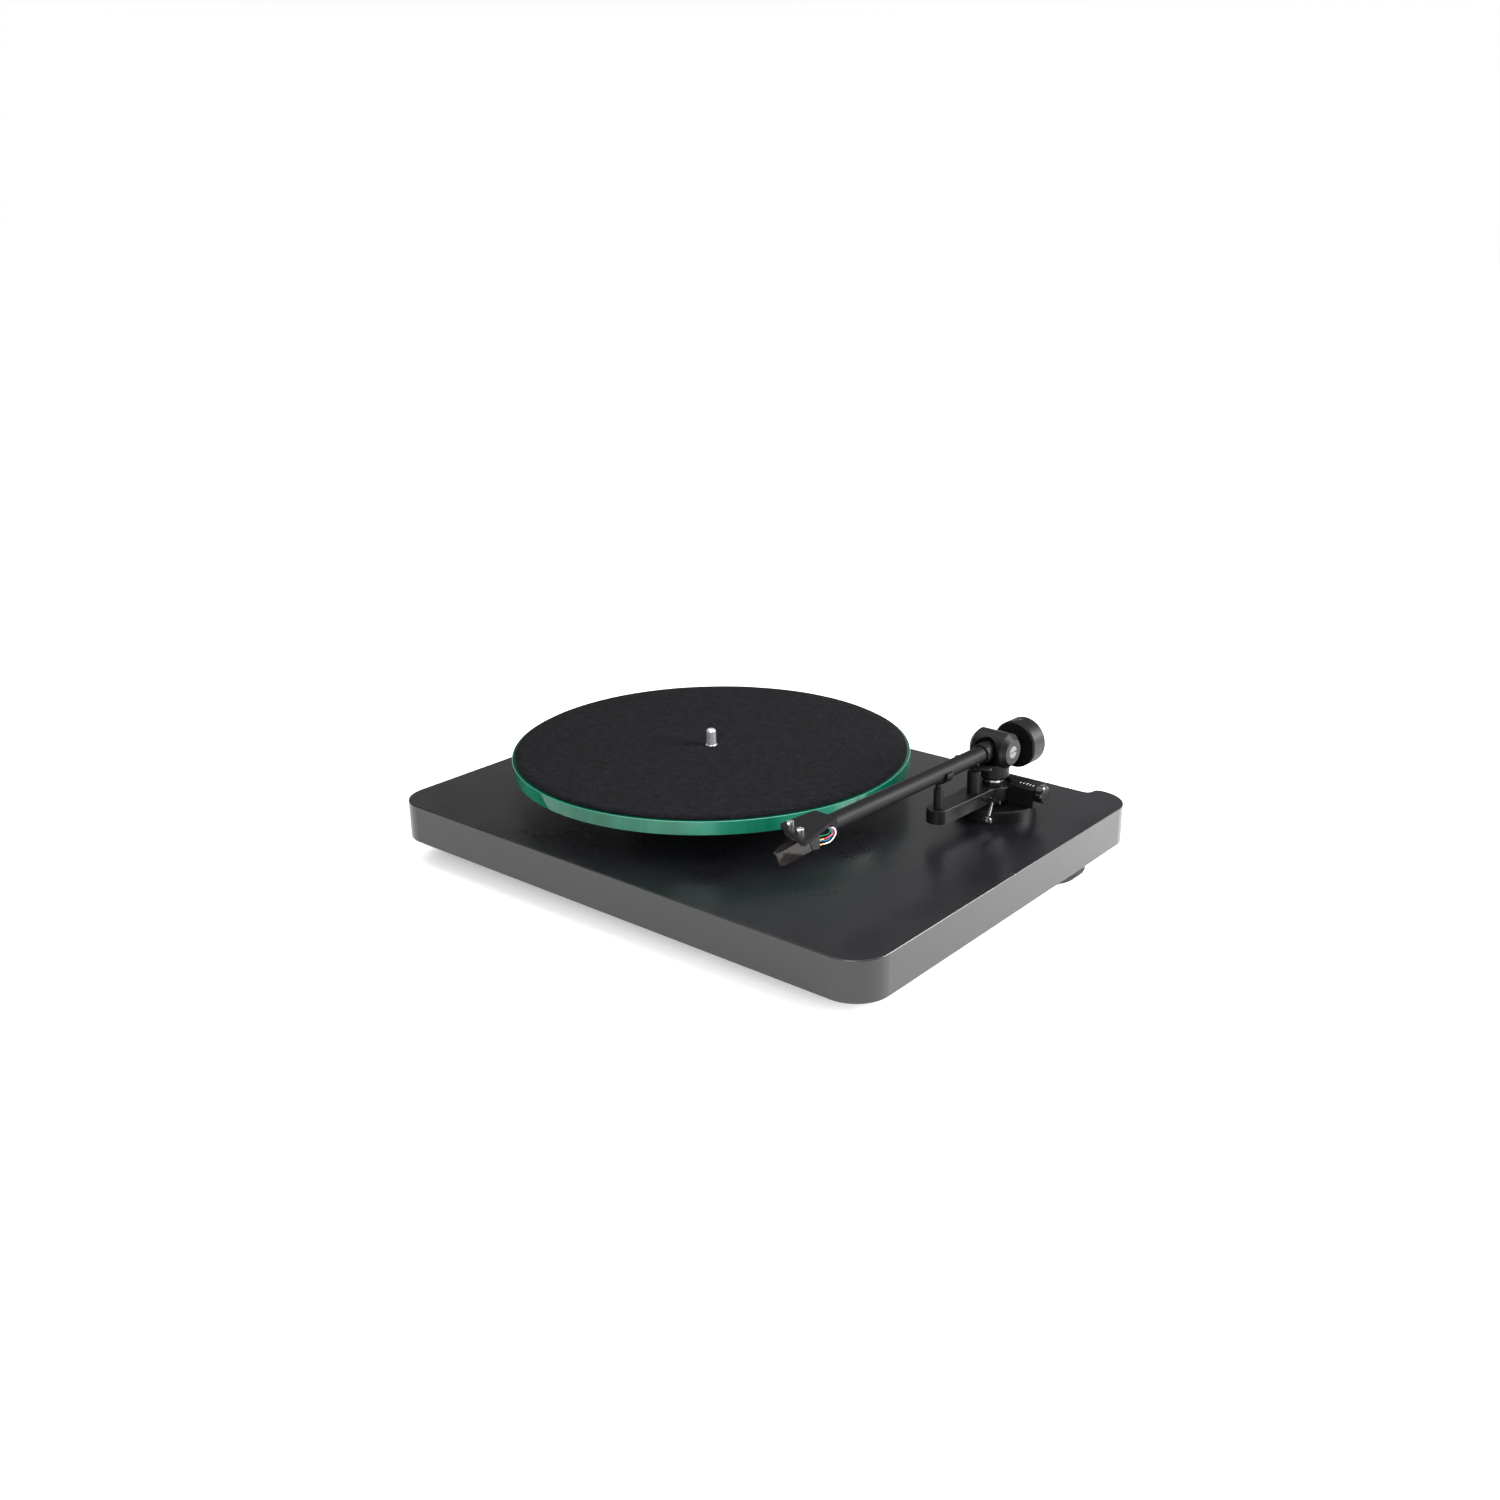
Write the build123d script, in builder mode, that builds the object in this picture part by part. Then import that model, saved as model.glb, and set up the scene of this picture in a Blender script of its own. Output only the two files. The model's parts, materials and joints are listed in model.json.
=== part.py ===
from build123d import *
import math
import os

# A belt-drive record player with a glass platter, a felt mat and a straight tonearm.
# Millimetres. The origin is on the floor under the middle of the plinth, +X right, +Y rear, +Z up.

os.makedirs("parts", exist_ok=True)

# ---------------------------------------------------------------- driving dimensions

# plinth
plinth_width = 435.0
plinth_depth = 339.0
plinth_thick = 29.0
plinth_corner = 25.0
plinth_edge = 0.8
recess_width = 370.0
recess_depth = 10.0
recess_round = 4.8
same_place = 0.01
cut_extra = 1.0
hex_sides = 6

# feet
foot_height = 20.0
foot_radius = 29.0
foot_neck = 19.0
foot_flange = 7.0
pad_thick = 2.0
pad_radius = 24.0
foot_bore = 2.7
foot_sink = 6.0
foot_sink_depth = 6.0
foot_bevel = 3.0
foot_shoulder = 2.0
foot_waist = 1.5
foot_places = {
    "front_left": (-138.0, -116.0),
    "front_right": (138.0, -116.0),
    "rear_left": (-177.0, 112.0),
    "rear_right": (177.0, 112.0),
}
foot_screw_length = 24.0
foot_screw_head = 4.8
foot_screw_head_thick = 3.0
foot_screw_hex = 2.0
foot_screw_hex_depth = 2.0

# platter and its bearing
spindle_x = -50.5
spindle_y = 2.0
spindle_radius = 3.6
spindle_rise = 12.5
spindle_root = 4.4
spindle_round = 2.16
shaft_radius = 5.0
running_gap = 0.03
glass_radius = 150.0
glass_thick = 10.0
glass_lift = 20.0
glass_bevel = 0.9
mat_radius = 147.5
mat_thick = 1.5
mat_hole = 4.7
bearing_radius = 9.0
bearing_flange = 17.0
bearing_flange_thick = 3.0
bearing_top_lift = 9.0
bearing_floor = 3.0
bearing_lift = 1.0
ball_radius = 2.5
nut_radius = 14.0
nut_thick = 5.0
nut_pocket = 18.0
nut_pocket_depth = 7.0
subplatter_radius = 60.0
subplatter_hub = 16.0
subplatter_ring = 45.0
subplatter_ring_width = 6.0
subplatter_ring_rise = 1.5
subplatter_gap = 1.5

# motor and belt
motor_x = -112.5
motor_y = 64.0
motor_radius = 21.0
motor_height = 18.0
motor_boss = 6.0
motor_boss_rise = 2.5
motor_shaft_radius = 1.5
motor_bore_floor = 4.0
motor_shaft_floor = 4.1
motor_edge = 1.0
motor_pocket_x = 76.0
motor_pocket_y = 64.0
motor_pocket_round = 8.0
web_thick = 4.0
web_hole = 13.0
bracket_x = 64.0
bracket_y = 52.0
bracket_thick = 1.5
bracket_round = 6.0
grommet_radius = 4.5
grommet_height = 3.0
grommet_pitch_x = 50.0
grommet_pitch_y = 38.0
bracket_screw = 2.0
bracket_screw_head = 3.8
bracket_screw_head_thick = 2.4
bracket_screw_bite = 3.0
pulley_slow = 8.0
pulley_fast = 10.8
pulley_flange = 12.5
pulley_rise = 3.0
pulley_step = 6.0
flange_thick = 1.0
pulley_fast_lip = 1.2
pulley_slow_lip = 1.6
belt_thick = 0.8
belt_width = 4.0
belt_gap = 0.3

# underside covers, control board and switch
cover_thick = 1.6
cover_lip = 4.0
cover_corner = 4.0
cover_play = 0.6
cover_screw = 1.5
cover_screw_head = 2.8
cover_screw_head_thick = 1.2
cover_screw_length = 8.0
cover_screw_inset = 1.0
corner_post_wall = 2.0
board_x = -180.0
board_y = -45.0
board_pocket_x = 52.0
board_pocket_y = 66.0
board_pocket_round = 5.0
board_pocket_depth = 15.0
board_thick = 1.6
board_lift = 9.0
board_margin = 14.0
board_post = 2.5
board_post_margin = 22.0
board_chip = 10.0
board_chip_back = 8.0
board_can = 4.0
board_can_side = -6.0
board_can_back = -12.0
board_part_drop = 3.5
switch_x = -188.0
switch_y = -110.0
switch_body_x = 14.0
switch_body_y = 20.0
switch_body_depth = 14.0
switch_flange = 2.0
switch_flange_thick = 1.5
rocker_x = 8.0
rocker_y = 14.0
rocker_depth = 4.0
rocker_pin = 1.0
rocker_tilt = 8.0
rocker_axis_lift = 2.0
rocker_side_gap = 1.0
rocker_end_gap = 2.0
rocker_well = 4.0
rocker_rise = 1.5
rocker_dish_depth = 1.2
rocker_pin_gap = 0.06
rocker_pin_bite = 0.5

# rear connectors
phono_x = 120.0
phono_pocket_width = 60.0
phono_pocket_height = 20.0
phono_pocket_depth = 26.0
phono_panel_width = 74.0
panel_height = 25.0
panel_thick = 1.5
panel_round = 2.0
panel_screw_inset = 3.5
socket_pitch = 20.0
socket_radius = 4.15
socket_bore = 3.3
socket_reach = 7.0
socket_collar = 5.8
socket_collar_thick = 1.2
socket_tail = 9.0
socket_core = 1.0
socket_core_back = 2.5
ground_radius = 2.0
ground_side = 24.0
ground_tail = 6.0
ground_knob_lift = 1.5
ground_reach = 7.0
ground_knob = 4.5
ground_knob_thick = 3.5
inlet_x = -120.0
inlet_pocket_width = 26.0
inlet_pocket_height = 14.0
inlet_pocket_depth = 24.0
inlet_plate = 18.0
inlet_plate_width = 36.0
inlet_bore = 3.1
inlet_depth = 9.0
inlet_pin = 1.05
inlet_body_width = 14.0
inlet_body_height = 11.0
inlet_body_tail = 3.0
inlet_screw_inset = 4.0
panel_screw = 1.5
panel_screw_head = 2.8
panel_screw_head_thick = 1.5
panel_screw_length = 8.0

# tonearm mount
pivot_x = 146.4
pivot_y = 85.5
arm_rest_angle = -92.2
arm_axis_lift = 48.3
disc_radius = 29.5
disc_thick = 8.8
disc_edge = 0.6
disc_back = 4.0
mount_bolt = 10.0
mount_bolt_reach = 24.0
mount_nut_flats = 30.0
mount_nut_thick = 5.0
mount_pocket = 20.0
mount_pocket_depth = 9.0
pillar_radius = 8.2
pillar_top_lift = 24.0
pillar_bore = 5.5
ring_radius = 8.0
ring_thick = 2.0
ring_gap = 0.4
ring_edge = 0.3
yaw_bearing_inner = 3.03
yaw_bearing_thick = 3.0
bar_bottom_lift = 11.5
bar_thick = 10.0
bar_hub = 13.0
bar_width = 16.0
bar_end_x = 141.5
bar_end_y = 21.0
bar_edge = 0.4
post_x = 142.0
post_y = 20.5
post_radius = 3.4
post_top_lift = 36.5
clip_neck = 2.3
clip_strap = 1.6
clip_gap = 0.35
clip_width = 7.0
clip_lip = 5.0
clip_rise = 1.0
lift_x = 144.6
lift_y = 62.0
lift_radius = 4.9
lift_top_lift = 38.0
lift_edge = 0.5
piston_radius = 2.4
piston_gap = 0.05
piston_lift = 0.3
cradle_inner = 22.0
cradle_outer = 28.5
cradle_thick = 1.5
cradle_start = -142.0
cradle_end = -70.0
cradle_gap = 0.5
cradle_drop = 2.0
cradle_edge = 0.5
bias_box_x = 179.5
bias_box_depth = 18.0
bias_box_low = 9.2
bias_box_high = 23.5
bias_box_edge = 0.8
bias_rod_radius = 2.0
bias_rod_length = 16.0
bias_rod_play = 1.0
bias_knob_radius = 6.3
bias_knob_thick = 6.0
bias_knob_z = 19.5
bias_knob_gap = 0.5
bias_knob_edge = 0.9
bias_axis_back = 5.5

# cue lever
lever_y = 61.5
lever_z_lift = 18.0
lever_start_x = 146.6
lever_turn_x = 167.0
lever_rod = 1.3
lever_bore = 1.35
lever_arm_x = 160.5
lever_arm = 1.6
lever_ball_x = 166.0
lever_drop = 8.4
lever_forward = 15.0
lever_ball = 3.6
lever_gap = 0.5
lever_edge = 0.3
lever_collar = 2.1
lever_collar_half = 2.0

# tonearm
tube_radius = 5.9
tube_wall = 1.1
housing_radius = 12.7
housing_half = 15.6
housing_chamfer = 3.6
housing_mouth = 10.0
housing_tail_mouth = 8.5
cavity_radius = 10.6
cavity_half = 11.0
collar_low = 9.0
collar_high = 11.2
collar_gap = 0.3
collar_step = 2.0
collar_rise = 2.5
yaw_shaft_radius = 3.0
yaw_shaft_lift = 0.3
yaw_shaft_short = 0.5
pivot_cap = 4.4
pivot_cap_thick = 1.2
pivot_slot = 0.9
pivot_slot_depth = 0.7
pivot_thread = 3.0
pivot_pin = 1.6
pivot_pin_gap = 0.05
pivot_pin_bite = 4.0
pivot_pin_bore = 4.5
hub_radius = 8.2
hub_half = 9.5
sleeve_radius = 7.4
sleeve_front = 18.5
sleeve_back = 12.5
sleeve_edge = 0.5
stub_sleeve = 6.2
tube_start = 9.0
tube_end = 185.5
stub_radius = 5.0
stub_start = 9.0
stub_end = 43.0
stub_edge = 0.4
weight_radius = 17.4
weight_drop = 4.5
weight_front = 24.8
weight_thick = 16.0
weight_gap = 0.05
weight_edge = 1.2
weight_screw_radius = 1.5
weight_screw_length = 8.0
weight_screw_sink = 0.3
weight_screw_short = 1.6
weight_screw_hex = 0.8
weight_screw_hex_depth = 1.5

# headshell and cartridge
head_start = 185.5
head_top_lift = 5.9
head_thick = 2.8
head_left_rear = -12.6
head_left_front = -14.8
head_left_length = 31.2
head_right_rear = 5.2
head_right_front = 17.0
head_right_length = 45.6
head_round = 2.0
head_wall_low = -6.4
head_wall_thick = 5.5
head_wall_half = 5.9
head_spigot = 14.0
cartridge_turn = 21.0
screw_line_side = -2.1
screw_line_ahead = 31.05
screw_pitch = 12.7
head_screw = 1.25
head_screw_cap = 2.4
head_screw_cap_height = 2.6
head_screw_socket = 1.1
head_screw_socket_depth = 1.4
head_screw_edge = 0.3
head_screw_length = 6.5
cartridge_ears = 18.5
cartridge_front = 4.5
cartridge_back = 14.5
cartridge_top_height = 2.0
cartridge_body_half = 5.0
pin_radius = 0.6
pin_length = 4.0
pin_pitch_side = 5.0
pin_pitch_up = 3.4
pin_drop = 8.7
guard_tilt = 21.0
guard_rear_back = 7.5
guard_rear_drop = 7.4
guard_length = 21.9
guard_straight = 18.0
guard_half_high = 5.0
guard_half_back = 4.6
guard_half_front = 3.2
guard_wall = 0.7
guard_gap = 0.5
guard_nose_round = 1.28
guard_hollow_nose = 1.5
holder_length = 12.0
holder_half = 2.6
holder_low = -2.5
holder_high = 3.0
holder_nose = 4.0
holder_front_cut = 1.5
holder_top_back = 3.0
needle_length = 15.0
needle_drop = 3.7
needle_radius = 0.35
needle_root_back = 4.5
needle_root_low = 0.3
needle_root_high = 1.0
needle_root_front = 2.0
needle_root_top = 2.0
needle_tip_long = 0.6
needle_tip_high = 0.9
lead_radius = 0.4
lead_end_gap = 0.02
lead_turn_ahead = 3.2
lead_turn_out = (7.0, 1.1)
lead_turn_lift = 0.8
# points of a lead beside the socket wall: ahead, out and up, each with its change from lead to lead
lead_way = (
    ((0.02, 0.0), (0.2, 1.5), (0.0, 0.0)),
    ((4.2, -0.9), (2.2, 1.4), (1.6, 0.0)),
    ((1.6, -0.5), (7.0, 1.1), (0.8, 0.0)),
    ((0.4, -0.5), (7.0, 1.1), (-2.2, -0.3)),
)

# ---------------------------------------------------------------- levels and places

plinth_bottom = foot_height
plinth_top = plinth_bottom + plinth_thick
rear_face = plinth_depth / 2 - recess_depth
glass_bottom = plinth_top + glass_lift
glass_top = glass_bottom + glass_thick
mat_top = glass_top + mat_thick
spindle_top = mat_top + spindle_rise
nut_level = plinth_bottom + nut_pocket_depth
bearing_bottom = plinth_bottom + bearing_lift
bearing_top = plinth_top + bearing_top_lift
ball_level = bearing_bottom + bearing_floor + ball_radius
shaft_bottom = ball_level + ball_radius + running_gap
subplatter_bottom = bearing_top + subplatter_gap
subplatter_top = glass_bottom - subplatter_ring_rise
motor_ceiling = plinth_top - web_thick
bracket_bottom = motor_ceiling - grommet_height - bracket_thick
bracket_top = bracket_bottom + bracket_thick
motor_bottom = bracket_bottom - motor_height
boss_top = bracket_bottom + motor_boss_rise + bracket_thick
pulley_bottom = plinth_top + pulley_rise
belt_level = pulley_bottom + flange_thick * 2 + pulley_step * 1.5
pulley_top = pulley_bottom + flange_thick * 3 + pulley_step * 2
arm_z = plinth_top + arm_axis_lift
disc_top = plinth_top + disc_thick
pillar_top = plinth_top + pillar_top_lift
ring_top = pillar_top + ring_thick
yaw_shaft_top = arm_z - cavity_radius - yaw_shaft_short
bar_bottom = plinth_top + bar_bottom_lift
bar_top = bar_bottom + bar_thick
post_top = plinth_top + post_top_lift
clip_bottom = arm_z - tube_radius - clip_gap - clip_strap
lift_top = plinth_top + lift_top_lift
cradle_top = arm_z - tube_radius - cradle_gap
cradle_bottom = cradle_top - cradle_thick
lever_z = plinth_top + lever_z_lift
bias_low = plinth_top + bias_box_low
bias_high = plinth_top + bias_box_high
bias_axis_y = pivot_y + bias_axis_back
bias_axis_z = plinth_top + bias_knob_z
head_top = arm_z + head_top_lift
head_bottom = head_top - head_thick

spindle_place = Location((spindle_x, spindle_y))
motor_place = Location((motor_x, motor_y))
pivot_place = Location((pivot_x, pivot_y))

# directions of the tonearm in plan: along the tube to the head, and across it to the right
ahead = Vector(math.cos(math.radians(arm_rest_angle)), math.sin(math.radians(arm_rest_angle)), 0)
across = Vector(-ahead.Y, ahead.X, 0)
pivot_point = Vector(pivot_x, pivot_y, arm_z)

# arm_plane looks along the tube; side_plane looks along the pitch axis; head_plane lies flat
arm_plane = Plane(origin=pivot_point, x_dir=across, z_dir=ahead)
side_plane = Plane(origin=pivot_point, x_dir=ahead, z_dir=across)
head_plane = Plane(origin=pivot_point + ahead * head_start, x_dir=across, z_dir=(0, 0, 1))

# the cartridge is turned towards the platter, and its own plane looks forward along it
screw_middle = pivot_point + ahead * (head_start + screw_line_ahead) + across * screw_line_side
cartridge_angle = math.radians(arm_rest_angle - cartridge_turn)
forward = Vector(math.cos(cartridge_angle), math.sin(cartridge_angle), 0)
sideways = Vector(-forward.Y, forward.X, 0)
cartridge_origin = Vector(screw_middle.X, screw_middle.Y, head_bottom)
cartridge_plane = Plane(origin=cartridge_origin, x_dir=sideways, z_dir=forward)
cartridge_flat = Plane(origin=cartridge_origin, x_dir=sideways, z_dir=(0, 0, 1))
cartridge_side = Plane(origin=cartridge_origin, x_dir=forward, z_dir=sideways * -1)

# the stylus and its guard lean down to the front; guard_side looks across them, x along, y up
lean = math.radians(guard_tilt)
guard_along = forward * math.cos(lean) - Vector(0, 0, math.sin(lean))
guard_up = forward * math.sin(lean) + Vector(0, 0, math.cos(lean))
guard_origin = cartridge_origin - forward * guard_rear_back - Vector(0, 0, guard_rear_drop)
guard_side = Plane(origin=guard_origin, x_dir=guard_along, z_dir=sideways * -1)
guard_flat = Plane(origin=guard_origin, x_dir=guard_along, z_dir=guard_up)

cover_places = {
    "motor_cover": (motor_x, motor_y, motor_pocket_x, motor_pocket_y, motor_pocket_round),
    "control_cover": (board_x, board_y, board_pocket_x, board_pocket_y, board_pocket_round),
}


def finish_part(part, name):
    """Label a finished part and write it to its own file."""
    part.label = name
    export_step(part, "parts/" + name + ".step")


def cover_screw_points(name):
    """The four screw places in the corners of an underside cover."""
    x, y, width, depth, _ = cover_places[name]
    side = width / 2 + cover_lip - cover_screw_head - cover_screw_inset
    end = depth / 2 + cover_lip - cover_screw_head - cover_screw_inset
    return [(x + sx * side, y + sy * end) for sx in (-1, 1) for sy in (-1, 1)]


all_cover_screws = [p for name in cover_places for p in cover_screw_points(name)]
corner_post = cover_screw_head + corner_post_wall

# places of the screws on the rear face, as (x, z)
panel_z = plinth_bottom + plinth_thick / 2
phono_screws = [(phono_x + s * (phono_panel_width / 2 - panel_screw_inset), panel_z) for s in (-1, 1)]
inlet_screws = [(inlet_x + s * (inlet_plate_width / 2 - inlet_screw_inset), panel_z) for s in (-1, 1)]
rear_screws = phono_screws + inlet_screws
rear_plane = Plane(origin=(0, rear_face, 0), x_dir=(-1, 0, 0), z_dir=(0, 1, 0))

# ---------------------------------------------------------------- plinth

with BuildPart() as plinth:
    with BuildSketch(Plane.XY.offset(plinth_bottom)) as outline:
        RectangleRounded(plinth_width, plinth_depth, plinth_corner)
        with Locations((0, plinth_depth / 2)):
            Rectangle(recess_width, 2 * recess_depth, mode=Mode.SUBTRACT)
        step_corners = [v for v in outline.vertices() if abs(abs(v.X) - recess_width / 2) < same_place]
        fillet(step_corners, recess_round)
    extrude(amount=plinth_thick)
    rims = plinth.faces().sort_by(Axis.Z)
    fillet(rims[-1].edges() + rims[0].edges(), plinth_edge)
    # pockets for the motor and the control board, each with a rebate for its cover
    for x, y, width, depth, _ in cover_places.values():
        with BuildSketch(Plane.XY.offset(plinth_bottom)):
            with Locations((x, y)):
                RectangleRounded(width + 2 * cover_lip, depth + 2 * cover_lip, cover_corner)
        extrude(amount=cover_thick, mode=Mode.SUBTRACT)
    with BuildSketch(Plane.XY.offset(plinth_bottom)):
        with Locations(motor_place):
            RectangleRounded(motor_pocket_x, motor_pocket_y, motor_pocket_round)
            for screw_point in cover_screw_points("motor_cover"):
                with Locations((screw_point[0] - motor_x, screw_point[1] - motor_y)):
                    Circle(corner_post, mode=Mode.SUBTRACT)
    extrude(amount=motor_ceiling - plinth_bottom, mode=Mode.SUBTRACT)
    with BuildSketch(Plane.XY.offset(plinth_bottom)):
        with Locations((board_x, board_y)):
            RectangleRounded(board_pocket_x, board_pocket_y, board_pocket_round)
            for screw_point in cover_screw_points("control_cover"):
                with Locations((screw_point[0] - board_x, screw_point[1] - board_y)):
                    Circle(corner_post, mode=Mode.SUBTRACT)
    extrude(amount=board_pocket_depth, mode=Mode.SUBTRACT)
    # the hole for the motor shaft, and the bracket's screw holes around it
    with BuildSketch(Plane.XY.offset(motor_ceiling)):
        with Locations(motor_place):
            Circle(web_hole)
            with GridLocations(grommet_pitch_x, grommet_pitch_y, 2, 2):
                Circle(bracket_screw)
    extrude(amount=web_thick, mode=Mode.SUBTRACT)
    # main bearing and tonearm bolt, each with a nut pocket below
    with BuildSketch(Plane.XY.offset(plinth_bottom)):
        with Locations(spindle_place):
            Circle(bearing_radius)
        with Locations(pivot_place):
            Circle(mount_bolt)
    extrude(amount=plinth_thick, mode=Mode.SUBTRACT)
    with BuildSketch(Plane.XY.offset(plinth_bottom)):
        with Locations(spindle_place):
            Circle(nut_pocket)
    extrude(amount=nut_pocket_depth, mode=Mode.SUBTRACT)
    with BuildSketch(Plane.XY.offset(plinth_bottom)):
        with Locations(pivot_place):
            Circle(mount_pocket)
    extrude(amount=mount_pocket_depth, mode=Mode.SUBTRACT)
    # power switch well
    with BuildSketch(Plane.XY.offset(plinth_bottom)):
        with Locations((switch_x, switch_y)):
            Rectangle(switch_body_x, switch_body_y)
    extrude(amount=switch_body_depth, mode=Mode.SUBTRACT)
    # connector pockets, open to the rear
    with BuildSketch(rear_plane):
        with Locations((-phono_x, panel_z)):
            Rectangle(phono_pocket_width, phono_pocket_height)
    extrude(amount=-phono_pocket_depth, mode=Mode.SUBTRACT)
    with BuildSketch(rear_plane):
        with Locations((-inlet_x, panel_z)):
            Rectangle(inlet_pocket_width, inlet_pocket_height)
    extrude(amount=-inlet_pocket_depth, mode=Mode.SUBTRACT)
    with BuildSketch(rear_plane):
        with Locations(*[(-x, z) for x, z in rear_screws]):
            Circle(panel_screw)
    extrude(amount=-panel_screw_length, mode=Mode.SUBTRACT)
    # screw holes of the feet and the covers
    with BuildSketch(Plane.XY.offset(plinth_bottom)):
        with Locations(*foot_places.values()):
            Circle(foot_bore)
    extrude(amount=foot_screw_length - foot_height + foot_sink_depth + pad_thick, mode=Mode.SUBTRACT)
    with BuildSketch(Plane.XY.offset(plinth_bottom)):
        with Locations(*all_cover_screws):
            Circle(cover_screw)
    extrude(amount=cover_screw_length, mode=Mode.SUBTRACT)
finish_part(plinth.part, "plinth")

# ---------------------------------------------------------------- feet

for place_name, (foot_x, foot_y) in foot_places.items():
    foot_plane = Plane(origin=(foot_x, foot_y, 0), x_dir=(1, 0, 0), z_dir=(0, -1, 0))
    with BuildPart() as foot:
        with BuildSketch(foot_plane):
            with BuildLine():
                Polyline(
                    (foot_sink, pad_thick),
                    (foot_radius - foot_bevel, pad_thick),
                    (foot_radius, pad_thick + foot_bevel),
                    (foot_radius, foot_flange),
                    (foot_radius - foot_shoulder, foot_flange + foot_shoulder),
                    (foot_neck + foot_waist, foot_flange + 2 * foot_shoulder),
                    (foot_neck, foot_height),
                    (foot_bore, foot_height),
                    (foot_bore, pad_thick + foot_sink_depth),
                    (foot_sink, pad_thick + foot_sink_depth),
                    close=True,
                )
            make_face()
        revolve(axis=Axis((foot_x, foot_y, 0), (0, 0, 1)))
    finish_part(foot.part, "foot_" + place_name)

with BuildPart() as foot_pads:
    with BuildSketch():
        with Locations(*foot_places.values()):
            Circle(pad_radius)
            Circle(foot_sink, mode=Mode.SUBTRACT)
    extrude(amount=pad_thick)
finish_part(foot_pads.part, "foot_pads")

with BuildPart() as foot_screws:
    screw_head_bottom = pad_thick + foot_sink_depth - foot_screw_head_thick
    with BuildSketch(Plane.XY.offset(screw_head_bottom)):
        with Locations(*foot_places.values()):
            Circle(foot_screw_head)
            RegularPolygon(foot_screw_hex, hex_sides, mode=Mode.SUBTRACT)
    extrude(amount=foot_screw_hex_depth)
    with BuildSketch(Plane.XY.offset(screw_head_bottom + foot_screw_hex_depth)):
        with Locations(*foot_places.values()):
            Circle(foot_screw_head)
    extrude(amount=foot_screw_head_thick - foot_screw_hex_depth)
    with BuildSketch(Plane.XY.offset(pad_thick + foot_sink_depth)):
        with Locations(*foot_places.values()):
            Circle(foot_bore)
    extrude(amount=foot_screw_length)
finish_part(foot_screws.part, "foot_screws")

# ---------------------------------------------------------------- main bearing

with BuildPart() as bearing_housing:
    with BuildSketch(Plane.XY.offset(bearing_bottom)):
        with Locations(spindle_place):
            Circle(bearing_radius)
    extrude(amount=bearing_top - bearing_bottom)
    with BuildSketch(Plane.XY.offset(plinth_top)):
        with Locations(spindle_place):
            Circle(bearing_flange)
    extrude(amount=bearing_flange_thick)
    with BuildSketch(Plane.XY.offset(ball_level)):
        with Locations(spindle_place):
            Circle(shaft_radius + running_gap)
    extrude(amount=bearing_top - ball_level, mode=Mode.SUBTRACT)
    with BuildSketch(Plane.XY.offset(ball_level - ball_radius)):
        with Locations(spindle_place):
            Circle(ball_radius + running_gap)
    extrude(amount=ball_radius, mode=Mode.SUBTRACT)
finish_part(bearing_housing.part, "bearing_housing")

with BuildPart() as thrust_ball:
    with Locations((spindle_x, spindle_y, ball_level)):
        Sphere(ball_radius)
finish_part(thrust_ball.part, "thrust_ball")

with BuildPart() as bearing_nut:
    with BuildSketch(Plane.XY.offset(nut_level - nut_thick)):
        with Locations(spindle_place):
            RegularPolygon(nut_radius, hex_sides)
            Circle(bearing_radius, mode=Mode.SUBTRACT)
    extrude(amount=nut_thick)
finish_part(bearing_nut.part, "bearing_nut")

# ---------------------------------------------------------------- platter

with BuildPart() as spindle_shaft:
    with BuildSketch(Plane.XY.offset(shaft_bottom)):
        with Locations(spindle_place):
            Circle(shaft_radius)
    extrude(amount=glass_bottom - shaft_bottom)
    with BuildSketch(Plane.XY.offset(glass_bottom)):
        with Locations(spindle_place):
            Circle(spindle_root)
    extrude(amount=mat_top - glass_bottom)
    with BuildSketch(Plane.XY.offset(mat_top)):
        with Locations(spindle_place):
            Circle(spindle_radius)
    extrude(amount=spindle_top - mat_top)
    fillet(spindle_shaft.faces().sort_by(Axis.Z)[-1].edges(), spindle_round)
finish_part(spindle_shaft.part, "spindle_shaft")

with BuildPart() as subplatter:
    with BuildSketch(Plane.XY.offset(subplatter_bottom)):
        with Locations(spindle_place):
            Circle(subplatter_radius)
    extrude(amount=subplatter_top - subplatter_bottom)
    with BuildSketch(Plane.XY.offset(subplatter_top)):
        with Locations(spindle_place):
            Circle(subplatter_ring)
            Circle(subplatter_ring - subplatter_ring_width, mode=Mode.SUBTRACT)
            Circle(subplatter_hub)
    extrude(amount=subplatter_ring_rise)
    with BuildSketch(Plane.XY.offset(subplatter_bottom)):
        with Locations(spindle_place):
            Circle(shaft_radius)
    extrude(amount=glass_bottom - subplatter_bottom, mode=Mode.SUBTRACT)
finish_part(subplatter.part, "subplatter")

with BuildPart() as glass_platter:
    with BuildSketch(Plane.XY.offset(glass_bottom)):
        with Locations(spindle_place):
            Circle(glass_radius)
    extrude(amount=glass_thick)
    chamfer(glass_platter.edges().filter_by(GeomType.CIRCLE), glass_bevel)
    with BuildSketch(Plane.XY.offset(glass_bottom)):
        with Locations(spindle_place):
            Circle(mat_hole)
    extrude(amount=glass_thick, mode=Mode.SUBTRACT)
finish_part(glass_platter.part, "glass_platter")

with BuildPart() as felt_mat:
    with BuildSketch(Plane.XY.offset(glass_top)):
        with Locations(spindle_place):
            Circle(mat_radius)
            Circle(mat_hole, mode=Mode.SUBTRACT)
    extrude(amount=mat_thick)
finish_part(felt_mat.part, "felt_mat")

# ---------------------------------------------------------------- motor

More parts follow.
